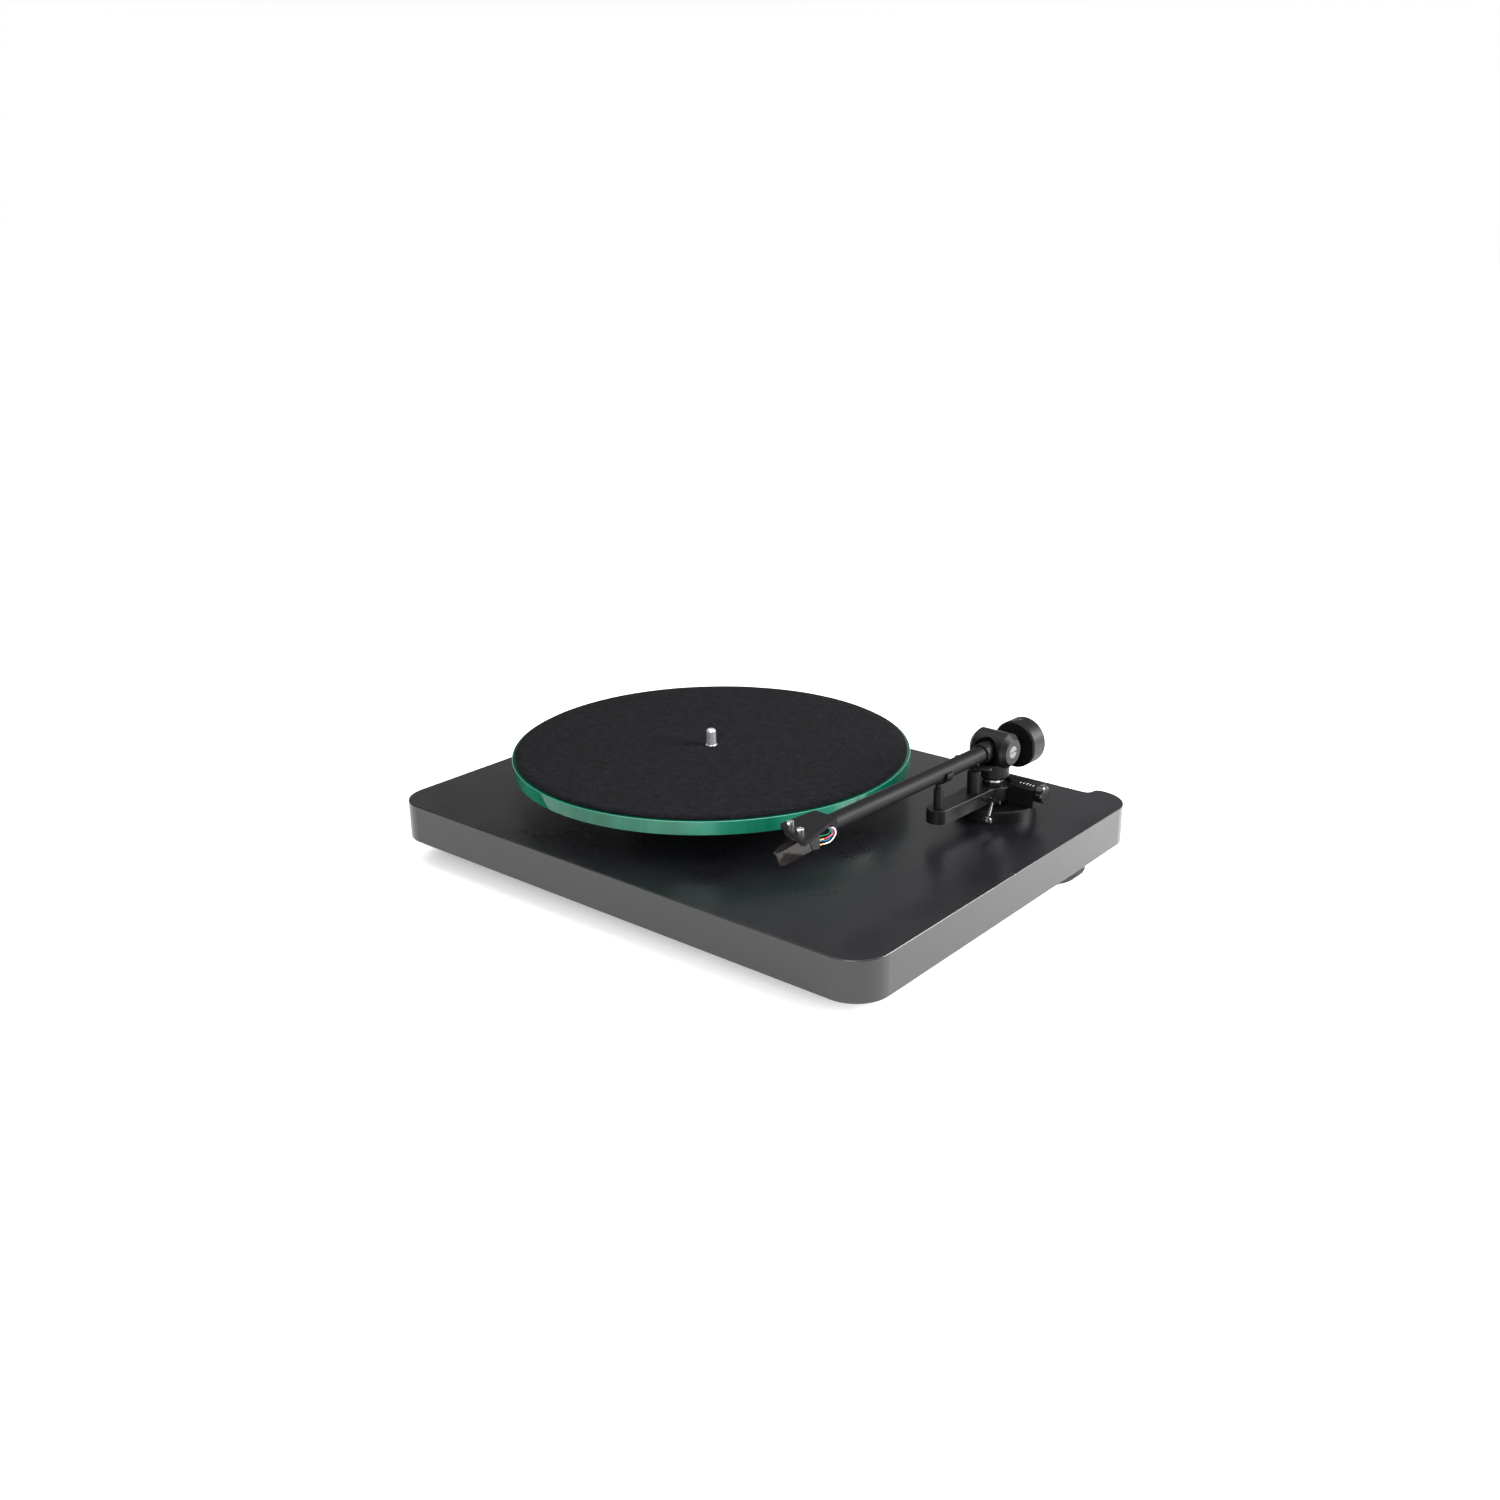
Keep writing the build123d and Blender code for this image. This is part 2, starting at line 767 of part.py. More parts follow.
with BuildPart() as motor_can:
    with BuildSketch(Plane.XY.offset(motor_bottom)):
        with Locations(motor_place):
            Circle(motor_radius)
    extrude(amount=motor_height)
    fillet(motor_can.edges().filter_by(GeomType.CIRCLE), motor_edge)
    with BuildSketch(Plane.XY.offset(bracket_bottom)):
        with Locations(motor_place):
            Circle(motor_boss)
    extrude(amount=boss_top - bracket_bottom)
    with BuildSketch(Plane.XY.offset(motor_bottom + motor_bore_floor)):
        with Locations(motor_place):
            Circle(motor_shaft_radius + running_gap)
    extrude(amount=boss_top - motor_bottom - motor_bore_floor, mode=Mode.SUBTRACT)
finish_part(motor_can.part, "motor_can")

with BuildPart() as motor_bracket:
    with BuildSketch(Plane.XY.offset(bracket_bottom)):
        with Locations(motor_place):
            RectangleRounded(bracket_x, bracket_y, bracket_round)
            Circle(motor_boss, mode=Mode.SUBTRACT)
            with GridLocations(grommet_pitch_x, grommet_pitch_y, 2, 2):
                Circle(bracket_screw, mode=Mode.SUBTRACT)
    extrude(amount=bracket_thick)
finish_part(motor_bracket.part, "motor_bracket")

with BuildPart() as motor_grommets:
    with BuildSketch(Plane.XY.offset(bracket_top)):
        with Locations(motor_place):
            with GridLocations(grommet_pitch_x, grommet_pitch_y, 2, 2):
                Circle(grommet_radius)
                Circle(bracket_screw, mode=Mode.SUBTRACT)
    extrude(amount=grommet_height)
finish_part(motor_grommets.part, "motor_grommets")

with BuildPart() as bracket_screws:
    with BuildSketch(Plane.XY.offset(bracket_bottom - bracket_screw_head_thick)):
        with Locations(motor_place):
            with GridLocations(grommet_pitch_x, grommet_pitch_y, 2, 2):
                Circle(bracket_screw_head)
    extrude(amount=bracket_screw_head_thick)
    with BuildSketch(Plane.XY.offset(bracket_bottom)):
        with Locations(motor_place):
            with GridLocations(grommet_pitch_x, grommet_pitch_y, 2, 2):
                Circle(bracket_screw)
    extrude(amount=motor_ceiling + bracket_screw_bite - bracket_bottom)
finish_part(bracket_screws.part, "bracket_screws")

with BuildPart() as motor_shaft:
    with BuildSketch(Plane.XY.offset(motor_bottom + motor_shaft_floor)):
        with Locations(motor_place):
            Circle(motor_shaft_radius)
    extrude(amount=pulley_top - motor_bottom - motor_shaft_floor)
finish_part(motor_shaft.part, "motor_shaft")

pulley_steps = (
    (pulley_flange, flange_thick),
    (pulley_fast, pulley_step),
    (pulley_fast + pulley_fast_lip, flange_thick),
    (pulley_slow, pulley_step),
    (pulley_slow + pulley_slow_lip, flange_thick),
)
with BuildPart() as motor_pulley:
    level = pulley_bottom
    for step_radius, step_height in pulley_steps:
        with BuildSketch(Plane.XY.offset(level)):
            with Locations(motor_place):
                Circle(step_radius)
                Circle(motor_shaft_radius, mode=Mode.SUBTRACT)
        extrude(amount=step_height)
        level += step_height
finish_part(motor_pulley.part, "motor_pulley")

with BuildPart() as drive_belt:
    with BuildSketch(Plane.XY.offset(belt_level - belt_width / 2)):
        with Locations(spindle_place):
            Circle(subplatter_radius + belt_gap + belt_thick)
        with Locations(motor_place):
            Circle(pulley_slow + belt_gap + belt_thick)
        make_hull()
    extrude(amount=belt_width)
    with BuildSketch(Plane.XY.offset(belt_level - belt_width / 2)):
        with Locations(spindle_place):
            Circle(subplatter_radius + belt_gap)
        with Locations(motor_place):
            Circle(pulley_slow + belt_gap)
        make_hull()
    extrude(amount=belt_width, mode=Mode.SUBTRACT)
finish_part(drive_belt.part, "drive_belt")

# ---------------------------------------------------------------- underside covers and electrics

for cover_name, (x, y, width, depth, _) in cover_places.items():
    cover_width = width + 2 * cover_lip - cover_play
    cover_depth = depth + 2 * cover_lip - cover_play
    with BuildPart() as cover:
        with BuildSketch(Plane.XY.offset(plinth_bottom)):
            with Locations((x, y)):
                RectangleRounded(cover_width, cover_depth, cover_corner)
        extrude(amount=cover_thick)
        with BuildSketch(Plane.XY.offset(plinth_bottom)):
            with Locations(*cover_screw_points(cover_name)):
                Circle(cover_screw)
        extrude(amount=cover_thick, mode=Mode.SUBTRACT)
        with BuildSketch(Plane.XY.offset(plinth_bottom)):
            with Locations(*cover_screw_points(cover_name)):
                Circle(cover_screw_head)
        extrude(amount=cover_screw_head_thick, mode=Mode.SUBTRACT)
    finish_part(cover.part, cover_name)

with BuildPart() as case_screws:
    with BuildSketch(Plane.XY.offset(plinth_bottom)):
        with Locations(*all_cover_screws):
            Circle(cover_screw_head)
    extrude(amount=cover_screw_head_thick)
    with BuildSketch(Plane.XY.offset(plinth_bottom + cover_screw_head_thick)):
        with Locations(*all_cover_screws):
            Circle(cover_screw)
    extrude(amount=cover_screw_length - cover_screw_head_thick)
    with BuildSketch(rear_plane.offset(panel_thick)):
        with Locations(*[(-x, z) for x, z in rear_screws]):
            Circle(panel_screw_head)
    extrude(amount=panel_screw_head_thick)
    with BuildSketch(rear_plane.offset(panel_thick)):
        with Locations(*[(-x, z) for x, z in rear_screws]):
            Circle(panel_screw)
    extrude(amount=-panel_screw_length)
finish_part(case_screws.part, "case_screws")

board_post_x = board_pocket_x - board_post_margin
board_post_y = board_pocket_y - board_post_margin
with BuildPart() as control_board:
    with BuildSketch(Plane.XY.offset(plinth_bottom + board_lift)):
        with Locations((board_x, board_y)):
            Rectangle(board_pocket_x - board_margin, board_pocket_y - board_margin)
    extrude(amount=board_thick)
    with BuildSketch(Plane.XY.offset(plinth_bottom + board_lift + board_thick)):
        with Locations((board_x, board_y)):
            with GridLocations(board_post_x, board_post_y, 2, 2):
                Circle(board_post)
    extrude(amount=board_pocket_depth - board_lift - board_thick)
    with BuildSketch(Plane.XY.offset(plinth_bottom + board_lift)):
        with Locations((board_x, board_y + board_chip_back)):
            Rectangle(board_chip, board_chip)
        with Locations((board_x + board_can_side, board_y + board_can_back)):
            Circle(board_can)
    extrude(amount=-board_part_drop)
finish_part(control_board.part, "control_board")

rocker_axis_z = plinth_bottom + rocker_axis_lift
rocker_origin = (switch_x, switch_y, rocker_axis_z)
rocker_slope = math.radians(rocker_tilt)
rocker_level_plane = Plane(origin=rocker_origin, x_dir=(0, 1, 0), z_dir=(1, 0, 0))
rocker_plane = Plane(
    origin=rocker_origin, x_dir=(0, math.cos(rocker_slope), math.sin(rocker_slope)), z_dir=(1, 0, 0)
)
switch_flange_x = switch_body_x + 2 * switch_flange
switch_flange_y = switch_body_y + 2 * switch_flange
with BuildPart() as power_switch_body:
    with BuildSketch(Plane.XY.offset(plinth_bottom)):
        with Locations((switch_x, switch_y)):
            Rectangle(switch_body_x, switch_body_y)
    extrude(amount=switch_body_depth)
    with BuildSketch(Plane.XY.offset(plinth_bottom)):
        with Locations((switch_x, switch_y)):
            RectangleRounded(switch_flange_x, switch_flange_y, panel_round)
    extrude(amount=-switch_flange_thick)
    with BuildSketch(Plane.XY.offset(plinth_bottom - switch_flange_thick)):
        with Locations((switch_x, switch_y)):
            Rectangle(rocker_x + rocker_side_gap, rocker_y + rocker_end_gap)
    extrude(amount=switch_flange_thick + rocker_depth + rocker_well, mode=Mode.SUBTRACT)
    with BuildSketch(rocker_level_plane):
        Circle(rocker_pin)
    extrude(amount=rocker_x / 2 + rocker_pin_bite, both=True)
finish_part(power_switch_body.part, "power_switch_body")

with BuildPart() as power_rocker:
    with BuildSketch(rocker_plane):
        with BuildLine():
            rocker_sill = Line((-rocker_y / 2, rocker_rise), (rocker_y / 2, rocker_rise))
            rocker_end = Line(rocker_sill @ 1, (rocker_y / 2, -rocker_depth))
            dish_middle = (0, rocker_dish_depth - rocker_depth)
            rocker_dish = ThreePointArc(rocker_end @ 1, dish_middle, (-rocker_y / 2, -rocker_depth))
            Line(rocker_dish @ 1, rocker_sill @ 0)
        make_face()
        Circle(rocker_pin + rocker_pin_gap, mode=Mode.SUBTRACT)
    extrude(amount=rocker_x / 2, both=True)
finish_part(power_rocker.part, "power_rocker")

with BuildPart() as phono_panel:
    with BuildSketch(rear_plane):
        with Locations((-phono_x, panel_z)):
            RectangleRounded(phono_panel_width, panel_height, panel_round)
        with Locations(*[(-phono_x + s * socket_pitch / 2, panel_z) for s in (-1, 1)]):
            Circle(socket_radius, mode=Mode.SUBTRACT)
        with Locations((-phono_x + ground_side, panel_z)):
            Circle(ground_radius, mode=Mode.SUBTRACT)
        with Locations(*[(-x, z) for x, z in phono_screws]):
            Circle(panel_screw, mode=Mode.SUBTRACT)
    extrude(amount=panel_thick)
finish_part(phono_panel.part, "phono_panel")

with BuildPart() as phono_sockets:
    socket_points = [(-phono_x + s * socket_pitch / 2, panel_z) for s in (-1, 1)]
    with BuildSketch(rear_plane.offset(-socket_tail)):
        with Locations(*socket_points):
            Circle(socket_radius)
    extrude(amount=socket_tail + panel_thick + socket_reach)
    with BuildSketch(rear_plane.offset(panel_thick)):
        with Locations(*socket_points):
            Circle(socket_collar)
    extrude(amount=socket_collar_thick)
    with BuildSketch(rear_plane):
        with Locations(*socket_points):
            Circle(socket_bore)
            Circle(socket_core, mode=Mode.SUBTRACT)
    extrude(amount=panel_thick + socket_reach, mode=Mode.SUBTRACT)
    with BuildSketch(rear_plane.offset(panel_thick + socket_reach - socket_core_back)):
        with Locations(*socket_points):
            Circle(socket_core)
    extrude(amount=socket_core_back, mode=Mode.SUBTRACT)
finish_part(phono_sockets.part, "phono_sockets")

with BuildPart() as ground_post:
    ground_point = (-phono_x + ground_side, panel_z)
    with BuildSketch(rear_plane.offset(-ground_tail)):
        with Locations(ground_point):
            Circle(ground_radius)
    extrude(amount=ground_tail + panel_thick + ground_reach)
    with BuildSketch(rear_plane.offset(panel_thick + ground_knob_lift)):
        with Locations(ground_point):
            Circle(ground_knob)
    extrude(amount=ground_knob_thick)
finish_part(ground_post.part, "ground_post")

with BuildPart() as dc_inlet:
    with BuildSketch(rear_plane):
        with Locations((-inlet_x, panel_z)):
            RectangleRounded(inlet_plate_width, inlet_plate, panel_round)
        with Locations(*[(-x, z) for x, z in inlet_screws]):
            Circle(panel_screw, mode=Mode.SUBTRACT)
    extrude(amount=panel_thick)
    with BuildSketch(rear_plane):
        with Locations((-inlet_x, panel_z)):
            Rectangle(inlet_body_width, inlet_body_height)
    extrude(amount=-inlet_depth - inlet_body_tail)
    with BuildSketch(rear_plane.offset(panel_thick)):
        with Locations((-inlet_x, panel_z)):
            Circle(inlet_bore)
            Circle(inlet_pin, mode=Mode.SUBTRACT)
    extrude(amount=-inlet_depth, mode=Mode.SUBTRACT)
finish_part(dc_inlet.part, "dc_inlet")

# ---------------------------------------------------------------- tonearm mount

with BuildPart() as arm_base_disc:
    with BuildSketch(Plane.XY.offset(plinth_top)):
        with Locations((pivot_x, pivot_y + disc_back)):
            Circle(disc_radius)
    extrude(amount=disc_thick)
    chamfer(arm_base_disc.edges().filter_by(GeomType.CIRCLE).sort_by(Axis.Z)[-1], disc_edge)
    with BuildSketch(Plane.XY.offset(plinth_top)):
        with Locations(pivot_place):
            Circle(mount_bolt)
    extrude(amount=-mount_bolt_reach)
finish_part(arm_base_disc.part, "arm_base_disc")

with BuildPart() as arm_mount_nut:
    mount_nut_level = plinth_bottom + mount_pocket_depth - mount_nut_thick
    with BuildSketch(Plane.XY.offset(mount_nut_level)):
        with Locations(pivot_place):
            RegularPolygon(mount_nut_flats / 2, hex_sides, major_radius=False)
            Circle(mount_bolt, mode=Mode.SUBTRACT)
    extrude(amount=mount_nut_thick)
finish_part(arm_mount_nut.part, "arm_mount_nut")

with BuildPart() as arm_pillar:
    with BuildSketch(Plane.XY.offset(disc_top)):
        with Locations(pivot_place):
            Circle(pillar_radius)
            Circle(pillar_bore, mode=Mode.SUBTRACT)
    extrude(amount=pillar_top - disc_top)
finish_part(arm_pillar.part, "arm_pillar")

with BuildPart() as yaw_bearings:
    for bearing_level in (disc_top, pillar_top - yaw_bearing_thick):
        with BuildSketch(Plane.XY.offset(bearing_level)):
            with Locations(pivot_place):
                Circle(pillar_bore)
                Circle(yaw_bearing_inner, mode=Mode.SUBTRACT)
        extrude(amount=yaw_bearing_thick)
finish_part(yaw_bearings.part, "yaw_bearings")

with BuildPart() as pillar_ring:
    with BuildSketch(Plane.XY.offset(pillar_top)):
        with Locations(pivot_place):
            Circle(ring_radius)
            Circle(yaw_shaft_radius + ring_gap, mode=Mode.SUBTRACT)
    extrude(amount=ring_thick)
    ring_rims = pillar_ring.edges().filter_by(GeomType.CIRCLE).sort_by(SortBy.RADIUS)
    chamfer(ring_rims[-2:], ring_edge)
finish_part(pillar_ring.part, "pillar_ring")

bar_length = math.hypot(bar_end_x - pivot_x, bar_end_y - pivot_y)
bar_angle = math.degrees(math.atan2(bar_end_y - pivot_y, bar_end_x - pivot_x))
lever_axle_plane = Plane(origin=(lever_start_x, lever_y, lever_z), x_dir=(0, 1, 0), z_dir=(1, 0, 0))
with BuildPart() as rest_bar:
    with BuildSketch(Plane.XY.offset(bar_bottom)):
        with Locations(Location((pivot_x, pivot_y), bar_angle)):
            Rectangle(bar_length, bar_width, align=(Align.MIN, Align.CENTER))
        with Locations((bar_end_x, bar_end_y)):
            Circle(bar_width / 2)
        with Locations(pivot_place):
            Circle(bar_hub)
    extrude(amount=bar_thick)
    chamfer(rest_bar.faces().sort_by(Axis.Z)[-1].edges(), bar_edge)
    with BuildSketch(Plane.XY.offset(bar_bottom)):
        with Locations(pivot_place):
            Circle(pillar_radius)
    extrude(amount=bar_thick, mode=Mode.SUBTRACT)
    with BuildSketch(lever_axle_plane):
        Circle(lever_bore)
    extrude(amount=bar_width, mode=Mode.SUBTRACT)
finish_part(rest_bar.part, "rest_bar")

with BuildPart() as rest_post:
    with BuildSketch(Plane.XY.offset(bar_top)):
        with Locations((post_x, post_y)):
            Circle(post_radius)
    extrude(amount=post_top - bar_top)
    chamfer(rest_post.faces().sort_by(Axis.Z)[-1].edges(), 0.5)
    with BuildSketch(Plane.XY.offset(post_top)):
        with Locations((post_x, post_y)):
            Circle(clip_neck)
    extrude(amount=clip_bottom - post_top)
finish_part(rest_post.part, "rest_post")

# the clip is a strap bent to the tube's round, from a flat lip up to the tube's mid-height
clip_along = pivot_y - post_y
clip_plane = arm_plane.offset(clip_along - clip_width / 2)
clip_inner = tube_radius + clip_gap
clip_outer = clip_inner + clip_strap
with BuildPart() as rest_clip:
    with BuildSketch(clip_plane):
        with BuildLine():
            Line((-clip_lip, -clip_outer), (0, -clip_outer))
            RadiusArc((0, -clip_outer), (clip_outer, 0), -clip_outer)
            Line((clip_outer, 0), (clip_outer, clip_rise))
            Line((clip_outer, clip_rise), (clip_inner, clip_rise))
            Line((clip_inner, clip_rise), (clip_inner, 0))
            RadiusArc((clip_inner, 0), (0, -clip_inner), clip_inner)
            Line((0, -clip_inner), (-clip_lip, -clip_inner))
            Line((-clip_lip, -clip_inner), (-clip_lip, -clip_outer))
        make_face()
    extrude(amount=clip_width)
finish_part(rest_clip.part, "rest_clip")

with BuildPart() as lift_cylinder:
    with BuildSketch(Plane.XY.offset(bar_top)):
        with Locations((lift_x, lift_y)):
            Circle(lift_radius)
            Circle(piston_radius + piston_gap, mode=Mode.SUBTRACT)
    extrude(amount=lift_top - bar_top)
    outer_rim = lift_cylinder.faces().sort_by(Axis.Z)[-1].edges().sort_by(SortBy.RADIUS)[-1]
    chamfer(outer_rim, lift_edge)
finish_part(lift_cylinder.part, "lift_cylinder")

with BuildPart() as lift_platform:
    with BuildSketch(Plane.XY.offset(cradle_bottom)):
        with BuildLine():
            cradle_mean = CenterArc(
                (pivot_x, pivot_y), (cradle_inner + cradle_outer) / 2, cradle_start, cradle_end - cradle_start
            )
        SlotArc(cradle_mean, cradle_outer - cradle_inner)
    extrude(amount=cradle_thick)
    fillet(lift_platform.faces().sort_by(Axis.Z)[-1].edges(), cradle_edge)
    with BuildSketch(Plane.XY.offset(bar_top + cradle_drop + piston_lift)):
        with Locations((lift_x, lift_y)):
            Circle(piston_radius)
    extrude(amount=cradle_bottom - bar_top - cradle_drop - piston_lift)
finish_part(lift_platform.part, "lift_platform")

bias_plane = Plane(origin=(bias_box_x, bias_axis_y, bias_axis_z), x_dir=(0, 1, 0), z_dir=(1, 0, 0))
with BuildPart() as bias_box:
    with BuildSketch(Plane.XY.offset(bias_low)):
        with Locations((pivot_x, pivot_y)):
            Rectangle(bias_box_x - pivot_x, bias_box_depth, align=(Align.MIN, Align.MIN))
    extrude(amount=bias_high - bias_low)
    chamfer(bias_box.faces().sort_by(Axis.Z)[-1].edges(), bias_box_edge)
    with BuildSketch(Plane.XY.offset(bias_low)):
        with Locations(pivot_place):
            Circle(bar_hub)
    extrude(amount=bias_high - bias_low, mode=Mode.SUBTRACT)
    with BuildSketch(bias_plane):
        Circle(bias_rod_radius + running_gap)
    extrude(amount=-bias_rod_length, mode=Mode.SUBTRACT)
finish_part(bias_box.part, "bias_box")

with BuildPart() as bias_knob:
    with BuildSketch(bias_plane.offset(bias_knob_gap)):
        Circle(bias_knob_radius)
    extrude(amount=bias_knob_thick)
    chamfer(bias_knob.edges().filter_by(GeomType.CIRCLE), bias_knob_edge)
    with BuildSketch(bias_plane.offset(bias_knob_gap)):
        Circle(bias_rod_radius)
    extrude(amount=-bias_rod_length + bias_rod_play)
finish_part(bias_knob.part, "bias_knob")

# ---------------------------------------------------------------- cue lever

lever_root = Vector(lever_arm_x, lever_y, lever_z)
lever_tip = Vector(lever_ball_x, lever_y - lever_forward, lever_z - lever_drop)
with BuildPart() as cue_lever:
    with BuildSketch(lever_axle_plane.offset(lever_gap)):
        Circle(lever_rod)
    extrude(amount=lever_turn_x - lever_start_x - lever_gap)
    chamfer(cue_lever.faces().sort_by(Axis.X)[-1].edges(), lever_edge)
    with BuildSketch(Plane(origin=lever_root, z_dir=(1, 0, 0))):
        Circle(lever_collar)
    extrude(amount=lever_collar_half, both=True)
    with BuildSketch(Plane(origin=lever_root, z_dir=lever_tip - lever_root)):
        Circle(lever_arm)
    extrude(amount=(lever_tip - lever_root).length)
    with Locations(lever_tip):
        Sphere(lever_ball)
finish_part(cue_lever.part, "cue_lever")

# ---------------------------------------------------------------- yoke

with BuildPart() as yoke_housing:
    with BuildSketch(side_plane.offset(-housing_half)):
        Circle(housing_radius)
    extrude(amount=2 * housing_half)
    end_rims = yoke_housing.edges().filter_by(GeomType.CIRCLE)
    chamfer(end_rims, housing_chamfer)
    with BuildSketch(Plane(origin=(pivot_x, pivot_y, 0), x_dir=(1, 0, 0), z_dir=(0, -1, 0))):
        with BuildLine():
            Polyline(
                (0, ring_top + collar_gap),
                (collar_low, ring_top + collar_gap),
                (collar_high, ring_top + collar_gap + collar_step),
                (collar_high, arm_z - housing_radius + collar_rise),
                (0, arm_z - housing_radius + collar_rise),
                close=True,
            )
        make_face()
    revolve(axis=Axis((pivot_x, pivot_y, 0), (0, 0, 1)))
    # the round chamber for the arm's hub, with a mouth to the front and one to the rear
    with BuildSketch(side_plane.offset(-cavity_half)):
        Circle(cavity_radius)
    extrude(amount=2 * cavity_half, mode=Mode.SUBTRACT)
    with BuildSketch(arm_plane):
        Circle(housing_mouth)
    extrude(amount=housing_radius + cut_extra, mode=Mode.SUBTRACT)
    with BuildSketch(arm_plane):
        Circle(housing_tail_mouth)
    extrude(amount=-housing_radius - cut_extra, mode=Mode.SUBTRACT)
    # threaded holes of the pivot screws, with round seats for their heads
    with BuildSketch(side_plane.offset(-housing_half)):
        Circle(pivot_thread)
    extrude(amount=2 * housing_half, mode=Mode.SUBTRACT)
    for side in (-1, 1):
        with BuildSketch(side_plane.offset(side * housing_half)):
            Circle(pivot_cap)
        extrude(amount=-side * pivot_cap_thick, mode=Mode.SUBTRACT)
    # seat of the yaw shaft
    with BuildSketch(Plane.XY.offset(ring_top + collar_gap)):
        with Locations(pivot_place):
            Circle(yaw_shaft_radius)
    extrude(amount=yaw_shaft_top - ring_top - collar_gap, mode=Mode.SUBTRACT)
finish_part(yoke_housing.part, "yoke_housing")

with BuildPart() as yaw_shaft:
    with BuildSketch(Plane.XY.offset(disc_top + yaw_shaft_lift)):
        with Locations(pivot_place):
            Circle(yaw_shaft_radius)
    extrude(amount=yaw_shaft_top - disc_top - yaw_shaft_lift)
finish_part(yaw_shaft.part, "yaw_shaft")

with BuildPart() as pivot_screws:
    for side in (-1, 1):
        with BuildSketch(side_plane.offset(side * housing_half)):
            Circle(pivot_cap)
        extrude(amount=-side * pivot_cap_thick)
        with BuildSketch(side_plane.offset(side * (housing_half - pivot_cap_thick))):
            Circle(pivot_thread)
        extrude(amount=-side * (housing_half - pivot_cap_thick - cavity_half))
        with BuildSketch(side_plane.offset(side * cavity_half)):
            Circle(pivot_pin)
        extrude(amount=-side * (cavity_half - hub_half + pivot_pin_bite))
        with BuildSketch(side_plane.offset(side * housing_half)):
            Rectangle(2 * pivot_cap, pivot_slot)
        extrude(amount=-side * pivot_slot_depth, mode=Mode.SUBTRACT)
finish_part(pivot_screws.part, "pivot_screws")

# ---------------------------------------------------------------- arm

with BuildPart() as arm_hub:
    with BuildSketch(side_plane.offset(-hub_half)):
        Circle(hub_radius)
    extrude(amount=2 * hub_half)
    with BuildSketch(arm_plane):
        Circle(sleeve_radius)
    extrude(amount=sleeve_front)
    chamfer(arm_hub.faces().sort_by(Axis(pivot_point, ahead))[-1].edges(), sleeve_edge)
    with BuildSketch(arm_plane):
        Circle(stub_sleeve)
    extrude(amount=-sleeve_back)
    with BuildSketch(arm_plane.offset(tube_start)):
        Circle(tube_radius)
    extrude(amount=sleeve_front - tube_start, mode=Mode.SUBTRACT)
    with BuildSketch(arm_plane.offset(-stub_start)):
        Circle(stub_radius)
    extrude(amount=-(sleeve_back - stub_start), mode=Mode.SUBTRACT)
    for side in (-1, 1):
        with BuildSketch(side_plane.offset(side * hub_half)):
            Circle(pivot_pin + pivot_pin_gap)
        extrude(amount=-side * pivot_pin_bore, mode=Mode.SUBTRACT)
finish_part(arm_hub.part, "arm_hub")

with BuildPart() as tone_tube:
    with BuildSketch(arm_plane.offset(tube_start)):
        Circle(tube_radius)
        Circle(tube_radius - tube_wall, mode=Mode.SUBTRACT)
    extrude(amount=tube_end - tube_start)
finish_part(tone_tube.part, "tone_tube")

with BuildPart() as rear_stub:
    with BuildSketch(arm_plane.offset(-stub_start)):
        Circle(stub_radius)
    extrude(amount=-(stub_end - stub_start))
    chamfer(rear_stub.faces().filter_by(arm_plane).edges(), stub_edge)
finish_part(rear_stub.part, "rear_stub")

with BuildPart() as counterweight:
    with BuildSketch(arm_plane.offset(-weight_front)):
        with Locations((0, -weight_drop)):
            Circle(weight_radius)
    extrude(amount=-weight_thick)
    chamfer(counterweight.edges().filter_by(GeomType.CIRCLE), weight_edge)
    with BuildSketch(arm_plane.offset(-weight_front)):
        Circle(stub_radius + weight_gap)
    extrude(amount=-weight_thick, mode=Mode.SUBTRACT)
    weight_middle = pivot_point - ahead * (weight_front + weight_thick / 2)
    screw_plane = Plane(
        origin=weight_middle + Vector(0, 0, weight_radius - weight_drop),
        x_dir=across,
        z_dir=(0, 0, -1),
    )
    with BuildSketch(screw_plane.offset(-cut_extra)):
        Circle(weight_screw_radius)
    extrude(amount=weight_screw_length, mode=Mode.SUBTRACT)
finish_part(counterweight.part, "counterweight")

with BuildPart() as weight_screw:
    with BuildSketch(screw_plane.offset(weight_screw_sink)):
        Circle(weight_screw_radius)
    extrude(amount=weight_screw_length - weight_screw_short)
    with BuildSketch(screw_plane.offset(weight_screw_sink)):
        RegularPolygon(weight_screw_hex, hex_sides)
    extrude(amount=weight_screw_hex_depth, mode=Mode.SUBTRACT)
finish_part(weight_screw.part, "weight_screw")

# ---------------------------------------------------------------- headshell and cartridge

